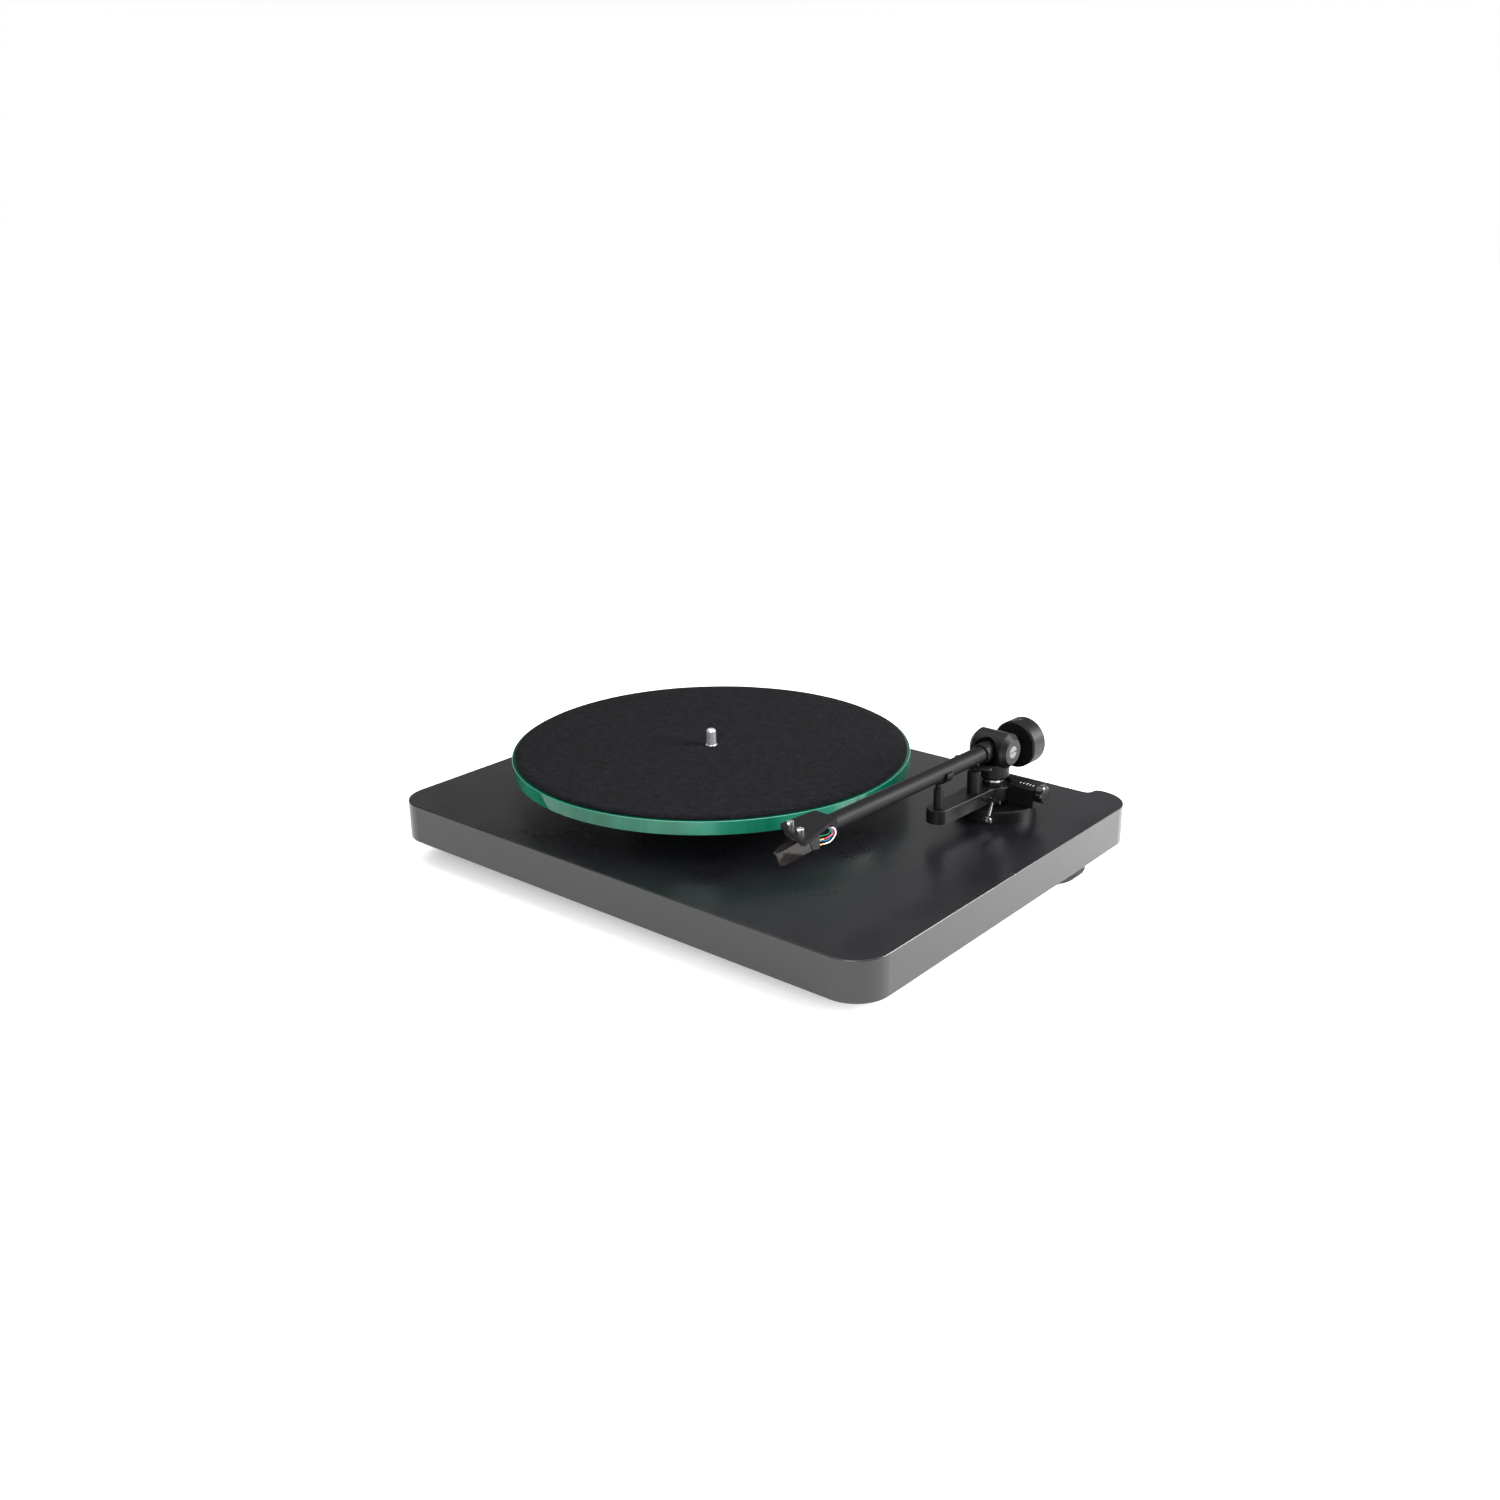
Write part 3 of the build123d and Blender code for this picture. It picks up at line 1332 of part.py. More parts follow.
head_outline = (
    (head_left_rear, 0),
    (head_left_front, -head_left_length),
    (head_right_front, -head_right_length),
    (head_right_rear, 0),
)
screw_points = [(side * screw_pitch / 2, 0) for side in (-1, 1)]
with BuildPart() as headshell:
    with BuildSketch(head_plane.offset(head_top_lift - head_thick)) as head_sketch:
        with BuildLine():
            Polyline(*head_outline, close=True)
        make_face()
        fillet(head_sketch.vertices(), head_round)
    extrude(amount=head_thick)
    # the socket wall below, with a spigot that fills the tube's end
    wall_height = head_top_lift - head_thick / 2 - head_wall_low
    with BuildSketch(arm_plane.offset(head_start)):
        with Locations((0, head_top_lift - head_thick / 2)):
            Rectangle(2 * head_wall_half, wall_height, align=(Align.CENTER, Align.MAX))
    extrude(amount=head_wall_thick)
    with BuildSketch(arm_plane.offset(head_start)):
        Circle(tube_radius - tube_wall)
    extrude(amount=-head_spigot)
    with BuildSketch(cartridge_flat):
        with Locations(*screw_points):
            Circle(head_screw)
    extrude(amount=head_thick, mode=Mode.SUBTRACT)
finish_part(headshell.part, "headshell")

with BuildPart() as headshell_screws:
    with BuildSketch(cartridge_flat.offset(head_thick)):
        with Locations(*screw_points):
            Circle(head_screw_cap)
    extrude(amount=head_screw_cap_height)
    with BuildSketch(cartridge_flat.offset(head_thick)):
        with Locations(*screw_points):
            Circle(head_screw)
    extrude(amount=-head_screw_length)
    chamfer(headshell_screws.faces().sort_by(Axis.Z)[-1].edges(), head_screw_edge)
    with BuildSketch(cartridge_flat.offset(head_thick + head_screw_cap_height)):
        with Locations(*screw_points):
            RegularPolygon(head_screw_socket, hex_sides)
    extrude(amount=-head_screw_socket_depth, mode=Mode.SUBTRACT)
finish_part(headshell_screws.part, "headshell_screws")

# the body's front is cut parallel to the guard's rear edge, a small gap behind it
guard_rear_mid = Vector(-guard_rear_back, -guard_rear_drop)
slope = Vector(math.cos(lean), -math.sin(lean))
rise = Vector(math.sin(lean), math.cos(lean))
face_point = guard_rear_mid - slope * guard_gap
face_top = face_point + rise * ((-cartridge_top_height - face_point.Y) / rise.Y)
face_bottom = face_point - rise * guard_half_high
with BuildPart() as cartridge_body:
    with BuildSketch(cartridge_side):
        with BuildLine():
            Polyline(
                (-cartridge_back, 0),
                (face_top.X, 0),
                (face_top.X, face_top.Y),
                (face_bottom.X, face_bottom.Y),
                (-cartridge_back, face_bottom.Y),
                close=True,
            )
        make_face()
    extrude(amount=cartridge_body_half, both=True)
    with BuildSketch(cartridge_flat):
        SlotOverall(cartridge_ears, 2 * cartridge_front)
        with Locations((0, cartridge_back / 2)):
            Rectangle(2 * cartridge_body_half, cartridge_back)
    extrude(amount=-cartridge_top_height)
    with BuildSketch(cartridge_flat):
        with Locations(*screw_points):
            Circle(head_screw)
    extrude(amount=-cartridge_top_height, mode=Mode.SUBTRACT)
finish_part(cartridge_body.part, "cartridge_body")

pin_points = [
    (side * pin_pitch_side / 2, -pin_drop + up * pin_pitch_up / 2) for side in (-1, 1) for up in (1, -1)
]
with BuildPart() as cartridge_pins:
    with BuildSketch(cartridge_plane.offset(-cartridge_back)):
        with Locations(*pin_points):
            Circle(pin_radius)
    extrude(amount=-pin_length)
finish_part(cartridge_pins.part, "cartridge_pins")

# the stylus: a grip on the body's front, and a needle that leans down out of it
needle_tip = (needle_length, -needle_drop)
with BuildPart() as stylus_holder:
    with BuildSketch(guard_side):
        with BuildLine():
            Polyline(
                (-guard_gap, holder_low),
                (holder_length - holder_nose, holder_low),
                (holder_length, 0.0),
                (holder_length, holder_high - holder_front_cut),
                (holder_length - holder_top_back, holder_high),
                (-guard_gap, holder_high),
                close=True,
            )
        make_face()
    extrude(amount=holder_half, both=True)
    with BuildSketch(guard_side):
        with BuildLine():
            Polyline(
                (holder_length - needle_root_back, holder_low + needle_root_high),
                (holder_length - needle_root_back, holder_low + needle_root_low),
                needle_tip,
                (needle_tip[0] + needle_tip_long, needle_tip[1] + needle_tip_high),
                (holder_length - needle_root_front, holder_low + needle_root_top),
                close=True,
            )
        make_face()
    extrude(amount=needle_radius, both=True)
finish_part(stylus_holder.part, "stylus_holder")

# a smoked cap round the stylus, open to the rear, with a rounded nose
cap_outline = (
    (0, -guard_half_back),
    (guard_straight, -guard_half_front),
    (guard_length, -guard_half_front / 2),
    (guard_length, guard_half_front / 2),
    (guard_straight, guard_half_front),
    (0, guard_half_back),
)
with BuildPart() as stylus_guard:
    with BuildSketch(guard_flat.offset(-guard_half_high)):
        with BuildLine():
            Polyline(*cap_outline, close=True)
        make_face()
    extrude(amount=2 * guard_half_high)
    nose_faces = stylus_guard.faces().sort_by(Axis(guard_origin, guard_along))
    fillet(nose_faces[-1].edges(), guard_nose_round)
    with BuildSketch(guard_flat.offset(guard_wall - guard_half_high)):
        with BuildLine():
            Polyline(
                (0, guard_wall - guard_half_back),
                (guard_straight, guard_wall - guard_half_front),
                (guard_straight + guard_hollow_nose, 0),
                (guard_straight, guard_half_front - guard_wall),
                (0, guard_half_back - guard_wall),
                close=True,
            )
        make_face()
    extrude(amount=2 * (guard_half_high - guard_wall), mode=Mode.SUBTRACT)
finish_part(stylus_guard.part, "stylus_guard")

# four leads leave the socket wall, loop out beside it and turn back to the pins
wall_front = pivot_point + ahead * (head_start + head_wall_thick)


def beside_wall(forward_by, out_by, up_by):
    """A point measured from the front of the socket wall."""
    return wall_front + ahead * forward_by + across * out_by + Vector(0, 0, up_by)


with BuildPart() as cartridge_leads:
    for number, (pin_side, pin_up) in enumerate(pin_points):
        pin_rear = cartridge_origin - forward * (cartridge_back + pin_length)
        pin_end = pin_rear + sideways * pin_side + Vector(0, 0, pin_up)
        lead_points = [beside_wall(*[start + step * number for start, step in point]) for point in lead_way]
        turn_out = lead_turn_out[0] + lead_turn_out[1] * number
        lead_points.append(beside_wall(lead_turn_ahead, turn_out, pin_end.Z - arm_z + lead_turn_lift))
        lead_points.append(pin_end - forward * lead_end_gap)
        with BuildLine() as lead_path:
            Spline(*lead_points, tangents=(ahead, forward))
        with BuildSketch(Plane(origin=lead_path.line @ 0, z_dir=lead_path.line % 0)):
            Circle(lead_radius)
        sweep(path=lead_path.line)
finish_part(cartridge_leads.part, "cartridge_leads")
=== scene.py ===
import json
import math

import bmesh
import bpy
from mathutils import Matrix, Vector
from mathutils.noise import noise as softNoise


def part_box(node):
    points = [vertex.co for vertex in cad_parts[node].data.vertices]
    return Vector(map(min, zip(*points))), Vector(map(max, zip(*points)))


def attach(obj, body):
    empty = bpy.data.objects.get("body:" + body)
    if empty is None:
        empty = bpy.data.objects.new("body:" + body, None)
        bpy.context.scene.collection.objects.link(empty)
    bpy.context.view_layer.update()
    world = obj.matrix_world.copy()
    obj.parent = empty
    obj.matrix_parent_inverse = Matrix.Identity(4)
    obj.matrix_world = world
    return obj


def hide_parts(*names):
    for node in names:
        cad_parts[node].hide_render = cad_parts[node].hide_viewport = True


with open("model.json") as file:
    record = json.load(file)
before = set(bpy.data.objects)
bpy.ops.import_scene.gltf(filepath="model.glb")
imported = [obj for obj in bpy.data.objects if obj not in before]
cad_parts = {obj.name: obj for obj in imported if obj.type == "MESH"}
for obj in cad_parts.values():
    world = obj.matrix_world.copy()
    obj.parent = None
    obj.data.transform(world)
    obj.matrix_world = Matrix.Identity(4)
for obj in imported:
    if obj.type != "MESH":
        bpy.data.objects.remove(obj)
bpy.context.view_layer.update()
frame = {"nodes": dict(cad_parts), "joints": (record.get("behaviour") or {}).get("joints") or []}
nodes = frame["nodes"]
joints = {joint["name"]: joint for joint in frame["joints"]}
print("frame loaded,", len(nodes), "nodes")


class Wire:
    # one output of a shader node; sums with it add Math nodes
    def __init__(self, tree, socket=None):
        self.tree = tree
        self.socket = socket

    # settings are the node's own properties, inputs the values or wires of its sockets
    def node(self, kind, settings=None, inputs=None, output=0):
        made = self.tree.nodes.new("ShaderNode" + kind)
        for name, value in (settings or {}).items():
            if name == "stops":
                ramp = made.color_ramp
                while len(ramp.elements) < len(value):
                    ramp.elements.new(0.5)
                for element, (stop, colour) in zip(ramp.elements, value):
                    element.position = stop
                    element.color = (*colour, 1)
            else:
                setattr(made, name, value)
        for name, value in (inputs or {}).items():
            plug(made.inputs[name], value, self.tree)
        return Wire(self.tree, made.outputs[output])

    def sum(self, operation, first, second):
        return self.node("Math", {"operation": operation}, {0: first, 1: second})

    def __add__(self, other):
        return self.sum("ADD", self, other)

    __radd__ = __add__

    def __sub__(self, other):
        return self.sum("SUBTRACT", self, other)

    def __rsub__(self, other):
        return self.sum("SUBTRACT", other, self)

    def __mul__(self, other):
        return self.sum("MULTIPLY", self, other)

    __rmul__ = __mul__

    def __truediv__(self, other):
        return self.sum("DIVIDE", self, other)

    def __pow__(self, other):
        return self.sum("POWER", self, other)

    # 0 below low, 1 above high
    def rise(self, low, high):
        inputs = {"Value": self, "From Min": low, "From Max": high}
        return self.node("MapRange", {"interpolation_type": "SMOOTHSTEP"}, inputs)

    def blend(self, under, over):
        return self.node("Mix", {"data_type": "RGBA"}, {0: self, 6: under, 7: over}, 2)


def plug(socket, value, tree):
    if isinstance(value, Wire):
        tree.links.new(value.socket, socket)
    elif socket.type == "RGBA":
        socket.default_value = (*value[:3], 1)
    else:
        socket.default_value = value


def makeMaterial(name, fixed, paint=None):
    material = bpy.data.materials.new(name)
    material.use_nodes = True
    tree = material.node_tree
    shader = tree.nodes["Principled BSDF"]
    for socket, value in fixed.items():
        plug(shader.inputs[socket], value, tree)
    if paint:
        start = Wire(tree)
        place = start.node("TexCoord", output="Object")
        for socket, value in paint(start, place).items():
            plug(shader.inputs[socket], value, tree)
    material.diffuse_color = (*fixed.get("Base Color", (0.1, 0.1, 0.1))[:3], 1)
    return material


def noise(start, place, scale, detail=2.0, rough=0.5):
    inputs = {"Vector": place, "Scale": scale, "Detail": detail, "Roughness": rough}
    return start.node("TexNoise", {}, inputs)


def bump(start, height, strength, distance):
    return start.node("Bump", {}, {"Height": height, "Strength": strength, "Distance": distance})


# a painted or moulded black: a fine grain in colour, gloss and relief
def grainyFinish(name, look):
    def paint(start, place):
        fine = noise(start, place, look["grain"], 3.0)
        broad = noise(start, place, look["cloud"], 2.0)
        shade = (fine * look["speck"] + broad * (1 - look["speck"])).rise(0.3, 0.7)
        return {
            "Base Color": shade.blend(look["dark"], look["light"]),
            "Roughness": broad.rise(0.3, 0.7) * look["glossSpread"] + look["roughness"],
            "Normal": bump(start, fine, look["relief"], look["depth"]),
        }

    fixed = {"Specular IOR Level": look["specular"], "Metallic": look["metal"]}
    return makeMaterial(name, fixed, paint)


grainy = {
    "roughness": 0.4,
    "glossSpread": 0.04,
    "specular": 0.5,
    "metal": 0.0,
    "grain": 1800.0,
    "cloud": 25.0,
    "speck": 0.5,
    "relief": 0.1,
    "depth": 0.0001,
    "dark": (0.0055, 0.0055, 0.0065),
    "light": (0.009, 0.009, 0.010),
}


def grainyLook(name, **changes):
    return grainyFinish(name, {**grainy, **changes})


finishes = {
    "plinthLacquer": grainyLook(
        "plinthLacquer",
        roughness=0.27,
        specular=0.5,
        dark=(0.0028, 0.0028, 0.0040),
        light=(0.0040, 0.0040, 0.0056),
        relief=0.01,
    ),
    "footRubber": grainyLook("footRubber", roughness=0.65, grain=2500.0, relief=0.3, specular=0.35),
    "mouldedBlack": grainyLook("mouldedBlack", roughness=0.5, relief=0.25),
    "glossBlack": grainyLook("glossBlack", roughness=0.14, relief=0.02, dark=(0.003,) * 3, light=(0.005,) * 3),
    "satinBlack": grainyLook(
        "satinBlack", roughness=0.38, specular=0.18, relief=0.1, dark=(0.002,) * 3, light=(0.0035,) * 3
    ),
    "tubeBlack": grainyLook(
        "tubeBlack", roughness=0.5, specular=0.12, dark=(0.0022, 0.0022, 0.0028), light=(0.0038, 0.0038, 0.0046)
    ),
    "cartridgeBlack": grainyLook("cartridgeBlack", roughness=0.25, specular=0.3, relief=0.05),
    "beltRubber": grainyLook("beltRubber", roughness=0.65),
    "boardGreen": grainyLook("boardGreen", roughness=0.4, dark=(0.01, 0.06, 0.03), light=(0.015, 0.08, 0.04)),
    "brightSteel": grainyLook(
        "brightSteel", roughness=0.2, metal=1.0, dark=(0.66, 0.66, 0.67), light=(0.75, 0.75, 0.76), relief=0.04
    ),
    "spindleSteel": grainyLook(
        "spindleSteel", roughness=0.3, metal=0.8, dark=(0.55, 0.55, 0.57), light=(0.75, 0.75, 0.77), relief=0.03
    ),
    "capSteel": grainyLook(
        "capSteel", roughness=0.3, metal=1.0, dark=(0.10, 0.10, 0.11), light=(0.16, 0.16, 0.17), relief=0.05
    ),
    "zincSteel": grainyLook(
        "zincSteel", roughness=0.35, metal=1.0, dark=(0.45, 0.46, 0.47), light=(0.55, 0.56, 0.57)
    ),
    "brass": grainyLook("brass", roughness=0.3, metal=1.0, dark=(0.6, 0.42, 0.15), light=(0.7, 0.5, 0.2)),
    "gold": grainyLook("gold", roughness=0.18, metal=1.0, dark=(0.95, 0.62, 0.18), light=(1.0, 0.7, 0.25)),
    "stylusOrange": grainyLook("stylusOrange", roughness=0.35, dark=(0.60, 0.15, 0.03), light=(0.70, 0.20, 0.05)),
    "markWhite": grainyLook("markWhite", roughness=0.5, dark=(0.55,) * 3, light=(0.65,) * 3),
}


def feltPaint(start, place):
    fibre = noise(start, place, 900.0, 4.0, 0.7)
    clump = noise(start, place, 160.0, 3.0, 0.6)
    fleck = noise(start, place, 1600.0, 1.0).rise(0.6, 0.78)
    shade = (fibre * 0.6 + clump * 0.4).rise(0.35, 0.68)
    cloth = shade.blend((0.0004, 0.0004, 0.0007), (0.0065, 0.0060, 0.0080))
    return {
        "Base Color": fleck.blend(cloth, (0.024, 0.023, 0.027)),
        "Normal": bump(start, fibre + clump * 0.6, 0.7, 0.0004),
    }


felt = {"Roughness": 1.0, "Specular IOR Level": 0.02, "Sheen Weight": 0.015, "Sheen Roughness": 0.6}
finishes["felt"] = makeMaterial("felt", felt, feltPaint)

glassGreen = {
    "deep": (0.0, 0.068, 0.037),
    # the lighter green of the painted light bands in the rim, set against the deep green
    "paintedLightBand": (0.020, 0.165, 0.105),
    "arris": (0.22, 0.50, 0.38),
    "bands": 11.0,
    "streaks": 55.0,
}


# painted light: the base colour paints long bands of light inside the glass; they run up the rim and change slowly
# round it
def rimPaint(start, place):
    # squeezed in height, so that a band keeps its tone from the lower to the upper edge
    flat = start.node("Mapping", {}, {"Vector": place, "Scale": (1.0, 1.0, 0.12)})
    bands = noise(start, flat, glassGreen["bands"], 2.0, 0.6).rise(0.42, 0.62)
    streaks = noise(start, flat, glassGreen["streaks"], 3.0, 0.7).rise(0.35, 0.75)
    tone = bands * 0.75 + streaks * 0.25
    return {
        "Base Color": tone.blend(glassGreen["deep"], glassGreen["paintedLightBand"]),
        "Roughness": streaks * 0.05 + 0.04,
    }


rim = {"IOR": 1.5, "Coat Weight": 0.1, "Coat Roughness": 0.03, "Specular IOR Level": 0.25}
finishes["glassRim"] = makeMaterial("glassRim", rim, rimPaint)
finishes["glassFace"] = grainyLook(
    "glassFace", roughness=0.04, relief=0.0, dark=(0.0, 0.035, 0.020), light=(0.0, 0.050, 0.028)
)
finishes["glassArris"] = grainyLook(
    "glassArris", roughness=0.12, relief=0.1, dark=(0.02, 0.14, 0.09), light=(0.06, 0.24, 0.17)
)

smoke = {
    "Base Color": (0.080, 0.070, 0.066),
    "Roughness": 0.06,
    "IOR": 1.4,
    "Transmission Weight": 0.85,
    "Specular IOR Level": 0.6,
}
finishes["smokedPlastic"] = makeMaterial("smokedPlastic", smoke)


kept = {
    "plinthLacquer": ["plinth"],
    "footRubber": ["foot_front_left", "foot_front_right", "foot_rear_left", "foot_rear_right", "foot_pads"],
    "zincSteel": [
        "foot_screws", "bearing_nut", "motor_can", "motor_bracket", "bracket_screws", "motor_shaft",
        "case_screws", "arm_mount_nut", "yaw_bearings", "yaw_shaft", "weight_screw",
    ],
    "capSteel": ["pivot_screws"],
    "brass": ["bearing_housing", "motor_pulley"],
    "brightSteel": ["thrust_ball", "pillar_ring", "headshell_screws"],
    "spindleSteel": ["spindle_shaft"],
    "mouldedBlack": [
        "subplatter", "motor_cover", "control_cover", "power_switch_body", "power_rocker",
        "phono_panel", "dc_inlet", "motor_grommets",
    ],
    "beltRubber": ["drive_belt"],
    "boardGreen": ["control_board"],
    "gold": ["phono_sockets", "ground_post", "cartridge_pins"],
    "satinBlack": [
        "arm_base_disc", "arm_pillar", "rest_bar", "rest_post", "rest_clip", "lift_cylinder",
        "lift_platform", "bias_box", "yoke_housing", "arm_hub", "rear_stub", "counterweight",
    ],
    "tubeBlack": ["tone_tube", "headshell"],
    "glossBlack": ["bias_knob", "cue_lever"],
    "cartridgeBlack": ["cartridge_body"],
    "stylusOrange": ["stylus_holder"],
    "smokedPlastic": ["stylus_guard"],
}
for finishName, nodeNames in kept.items():
    for nodeName in nodeNames:
        mesh = nodes[nodeName].data
        mesh.materials.clear()
        mesh.materials.append(finishes[finishName])
print("finishes on the kept pieces")


def addPiece(name, shape, materials, body):
    mesh = bpy.data.meshes.new(name)
    shape.to_mesh(mesh)
    shape.free()
    made = bpy.data.objects.new(name, mesh)
    bpy.context.collection.objects.link(made)
    for material in materials:
        mesh.materials.append(finishes[material])
    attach(made, body)
    return made


# turns an outline of (radius, height) round an upright axis, closed into a ring
def turnRing(outline, middle, steps):
    shape = bmesh.new()
    points = [shape.verts.new((middle[0] + radius, middle[1], height)) for radius, height in outline]
    edges = [shape.edges.new((a, b)) for a, b in zip(points, points[1:] + points[:1])]
    bmesh.ops.spin(
        shape, geom=points + edges, cent=(*middle, 0), axis=(0, 0, 1), angle=math.tau, steps=steps, use_merge=True
    )
    bmesh.ops.remove_doubles(shape, verts=shape.verts, dist=1e-6)
    bmesh.ops.recalc_face_normals(shape, faces=shape.faces)
    return shape


# smooth faces with a crisp edge wherever two of them meet at more than the angle
def shadeShape(shape, angle=0.5):
    for face in shape.faces:
        face.smooth = True
    for edge in shape.edges:
        edge.smooth = edge.calc_face_angle(0.0) < angle


glass = {"arris": 0.00035, "steps": 256}


def makeGlass():
    low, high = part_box("glass_platter")
    middle = ((low.x + high.x) / 2, (low.y + high.y) / 2)
    radius = (high.x - low.x) / 2
    hole = platterHole
    cut = glass["arris"]
    outline = [
        (hole, low.z),
        (radius - cut, low.z),
        (radius, low.z + cut),
        (radius, high.z - cut),
        (radius - cut, high.z),
        (hole, high.z),
    ]
    shape = turnRing(outline, middle, glass["steps"])
    for face in shape.faces:
        height = face.calc_center_median().z
        tilt = abs(face.normal.z)
        face.material_index = 0 if tilt < 0.3 else 1 if tilt < 0.9 else 2
    shadeShape(shape)
    made = addPiece("glassPlatter", shape, ["glassRim", "glassArris", "glassFace"], "platter")
    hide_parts("glass_platter")


mat = {"edge": 0.0005, "steps": 256, "rings": 24, "wave": 0.00012}


def makeMat():
    low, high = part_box("felt_mat")
    middle = ((low.x + high.x) / 2, (low.y + high.y) / 2)
    radius = (high.x - low.x) / 2
    soft = mat["edge"]
    span = radius - soft - platterHole
    top = [(platterHole + span * step / mat["rings"], high.z) for step in range(mat["rings"] + 1)]
    outline = [
        (platterHole, low.z),
        (radius - soft, low.z),
        (radius, low.z + soft),
        (radius, high.z - soft),
        *reversed(top),
    ]
    shape = turnRing(outline, middle, mat["steps"])
    for vert in shape.verts:  # the felt lies nearly flat, a little lower here and there
        if vert.co.z > high.z - 1e-6:
            away = Vector((vert.co.x, vert.co.y, 0)) * 60
            vert.co.z -= mat["wave"] * (0.5 + 0.5 * softNoise(away))
    shadeShape(shape, 0.9)
    made = addPiece("feltMat", shape, ["felt"], "platter")
    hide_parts("felt_mat")


platterHole = 0.0047
makeGlass()
makeMat()
print("platter made")


# directions of the tonearm: across to its right, ahead along the tube
pivot = Vector(joints["arm_swing"]["pos_m"])
across = -Vector(joints["arm_lift"]["axis"])
ahead = Vector((across.y, -across.x, 0))
pull = Vector(joints["guard_pull"]["axis"])
forward = Vector((pull.x, pull.y, 0)).normalized()
sideways = Vector((-forward.y, forward.x, 0))

leads = {
    "radius": 0.00036,
    "wallFront": 0.191,
    "bow": 0.0052,
    "spread": 0.0011,
    "pinPitch": 0.0050,
    "colours": {
        "leadGreen": (0.02, 0.32, 0.16),
        "leadBlue": (0.03, 0.26, 0.48),
        "leadRed": (0.60, 0.02, 0.05),
        "leadWhite": (0.82, 0.82, 0.84),
    },
}


def makeLeads():
    low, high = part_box("cartridge_pins")
    wall = pivot + ahead * leads["wallFront"]
    pinReach = min((Vector((v.co.x, v.co.y, 0))).dot(forward) for v in nodes["cartridge_pins"].data.vertices)
    for number, (name, colour) in enumerate(leads["colours"].items()):
        side = 1 if number > 1 else -1
        level = high.z - 0.0006 if number % 2 == 0 else low.z + 0.0006
        middle = (low + high) / 2
        pin = Vector((middle.x, middle.y, 0))
        pin += forward * (pinReach - pin.dot(forward)) + sideways * side * leads["pinPitch"] / 2
        pin.z = level
        bow = across * (leads["bow"] + leads["spread"] * number)
        points = [
            wall + across * (0.0002 + 0.0015 * number),
            wall + ahead * (0.0042 - 0.0009 * number) + across * (0.0022 + 0.0014 * number) + Vector((0, 0, 0.0016)),
            wall + ahead * (0.0016 - 0.0005 * number) + bow + Vector((0, 0, 0.0010)),
            wall - ahead * 0.0005 * number + bow - Vector((0, 0, 0.0022 + 0.0003 * number)),
            wall + ahead * 0.0032 + bow + Vector((0, 0, level - pivot.z + 0.0006)),
            pin - forward * 0.0020,
            pin + forward * 0.0012,
        ]
        curve = bpy.data.curves.new(name, "CURVE")
        curve.dimensions = "3D"
        curve.bevel_depth = leads["radius"]
        curve.bevel_resolution = 3
        curve.use_fill_caps = True
        line = curve.splines.new("NURBS")
        line.points.add(len(points) - 1)
        for knot, point in zip(line.points, points):
            knot.co = (*point, 1)
        line.order_u = 3
        line.use_endpoint_u = True
        line.resolution_u = 8
        finishes[name] = grainyLook(
            name, roughness=0.35, relief=0.03, dark=tuple(0.85 * c for c in colour), light=colour
        )
        curve.materials.append(finishes[name])
        made = bpy.data.objects.new(name, curve)
        bpy.context.collection.objects.link(made)
        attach(made, "arm")
        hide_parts("cartridge_leads")


makeLeads()

marks = {"count": 5, "pitch": 0.0026, "width": 0.0005, "length": 0.0020, "thick": 0.00005, "fromEnd": 0.0045}


# a row of plain lines on the bias box, the middle one longer
def makeMarks():
    low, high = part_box("bias_box")
    shape = bmesh.new()
    for number in range(marks["count"]):
        middle = number == marks["count"] // 2
        length = marks["length"] * (1.6 if middle else 1.0)
        bmesh.ops.create_cube(
            shape,
            size=1.0,
            matrix=Matrix.Translation(
                (
                    high.x - marks["fromEnd"] - number * marks["pitch"],
                    low.y + 0.0065 + length / 2,
                    high.z + marks["thick"] / 2,
                )
            )
            @ Matrix.Diagonal((marks["width"], length, marks["thick"], 1)),
        )
    addPiece("biasMarks", shape, ["markWhite"], "base")


makeMarks()
print("leads and marks made")


floor = {"radius": 9.0, "colour": (0.9, 0.9, 0.9), "glow": 0.3}


def makeFloor():
    shape = bmesh.new()
    bmesh.ops.create_circle(shape, cap_ends=True, segments=96, radius=floor["radius"])
    mesh = bpy.data.meshes.new("floor")
    shape.to_mesh(mesh)
    shape.free()
    made = bpy.data.objects.new("floor", mesh)
    bpy.context.collection.objects.link(made)
    paper = {
        "Base Color": floor["colour"],
        "Roughness": 0.9,
        "Specular IOR Level": 0.1,
        "Emission Color": (1, 1, 1),
        "Emission Strength": floor["glow"],
    }
    mesh.materials.append(makeMaterial("floorPaper", paper))


studio = {
    # brightness of the sky at heights from the horizon (0) to straight up (1)
    "sky": [(0.0, 1.0), (0.10, 1.0), (0.29, 0.42), (0.345, 0.03), (0.60, 0.02), (0.80, 1.9), (1.0, 3.2)],
    "brightest": 4.0,
    # soft boxes: direction, cosine where the glow starts, cosine where it is full, brightness
    "boxes": [
        ((-0.545, 0.72, 0.43), 0.986, 0.9985, 0.40),
        ((0.85, 0.50, 0.30), 0.90, 0.985, 1.4),
    ],
    # square lamps: place, size, power; each looks at the middle of the record player
    "lamps": [
        ((0.85, 0.60, 0.50), 0.5, 26.0),
        ((0.45, -0.80, 0.45), 0.4, 7.5),
    ],
    "lookAt": (0.1, 0.0, 0.0),
}


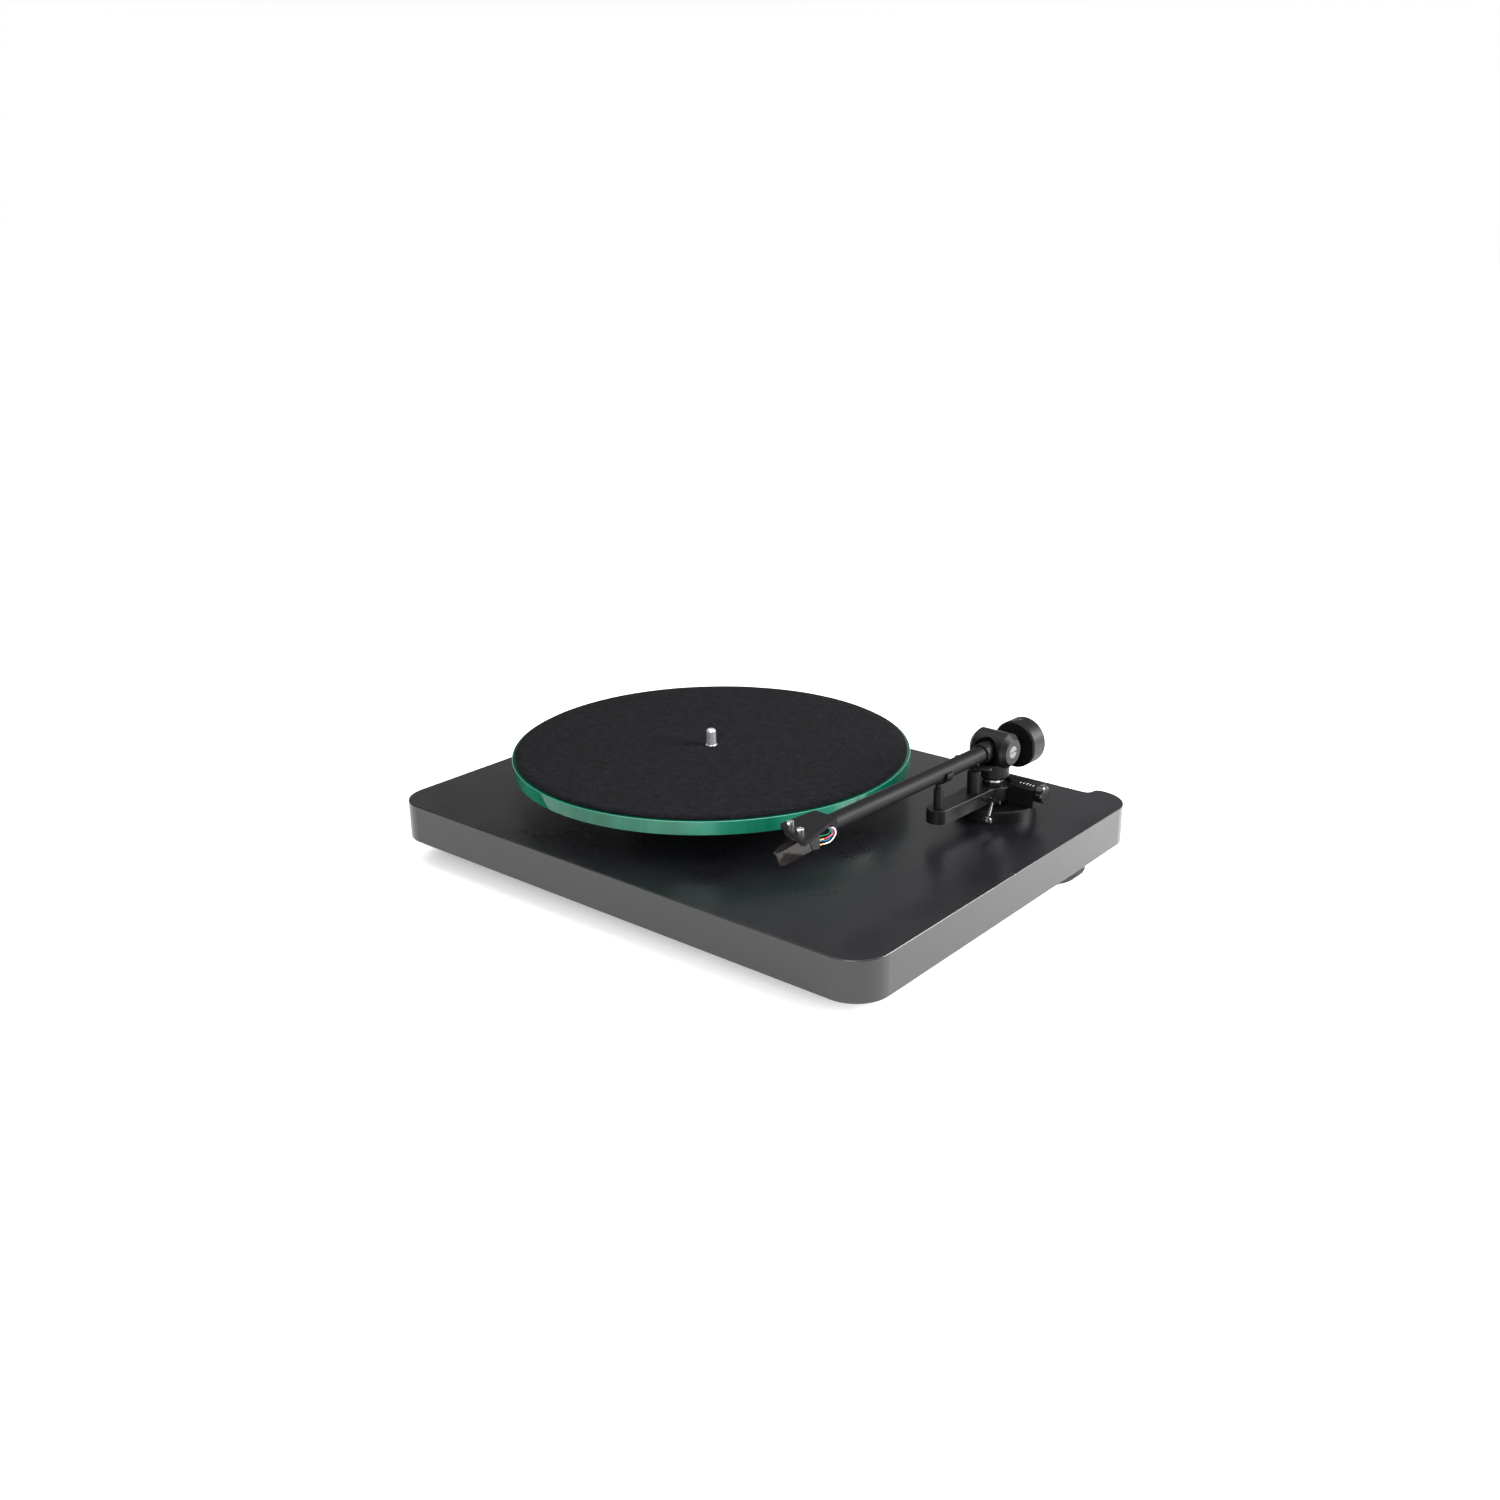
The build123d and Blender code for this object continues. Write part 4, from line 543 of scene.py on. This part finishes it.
def makeStudio():
    world = bpy.data.worlds.new("studio")
    world.use_nodes = True
    bpy.context.scene.world = world
    tree = world.node_tree
    start = Wire(tree)
    direction = start.node("TexCoord", output="Generated")
    height = start.node("SeparateXYZ", {}, {0: direction}, 2)
    # a ramp's colours end at 1, so the sky is scaled down in it and up again after it
    stops = [(stop, (value / studio["brightest"],) * 3) for stop, value in studio["sky"]]
    sky = height.node("ValToRGB", {"stops": stops}, {0: height})
    light = sky.node("SeparateColor", {}, {0: sky}) * studio["brightest"]
    for towards, edge, full, brightness in studio["boxes"]:
        axis = tuple(Vector(towards).normalized())
        facing = start.node("VectorMath", {"operation": "DOT_PRODUCT"}, {0: direction, 1: axis}, 1)
        light = light + facing.rise(edge, full) * brightness
    plug(tree.nodes["Background"].inputs["Strength"], light, tree)
    tree.nodes["Background"].inputs["Color"].default_value = (1, 1, 1, 1)
    for number, (place, size, power) in enumerate(studio["lamps"]):
        name = "lamp%d" % number
        lamp = bpy.data.lights.new(name, "AREA")
        lamp.energy = power
        lamp.size = size
        made = bpy.data.objects.new(name, lamp)
        made.location = place
        made.visible_camera = False
        made.rotation_mode = "QUATERNION"
        made.rotation_quaternion = (Vector(place) - Vector(studio["lookAt"])).to_track_quat("Z", "Y")
        bpy.context.collection.objects.link(made)


view = {
    "place": (0.6820, -0.8170, 0.4708),
    "azimuth": 40.29,
    "elevation": 19.8,
    "roll": -0.87,
    "lens": 36.905,
    "sensor": 36.0,
}


def makeCamera():
    side = math.radians(view["azimuth"])
    up = math.radians(view["elevation"])
    back = Vector((math.sin(side) * math.cos(up), -math.cos(side) * math.cos(up), math.sin(up)))
    right = Vector((math.cos(side), math.sin(side), 0))
    turn = Matrix((right, back.cross(right), back)).transposed()
    roll = Matrix.Rotation(math.radians(view["roll"]), 3, "Z")
    data = bpy.data.cameras.new("camera")
    data.lens = view["lens"]
    data.sensor_width = view["sensor"]
    data.clip_start = 0.01
    data.clip_end = 100.0
    camera = bpy.data.objects.new("camera", data)
    camera.rotation_mode = "QUATERNION"
    camera.location = view["place"]
    camera.rotation_quaternion = (turn @ roll).to_quaternion()
    bpy.context.collection.objects.link(camera)
    bpy.context.scene.camera = camera


makeFloor()
makeStudio()
makeCamera()
bpy.context.scene.view_settings.view_transform = "Standard"
print("floor, light and camera made")
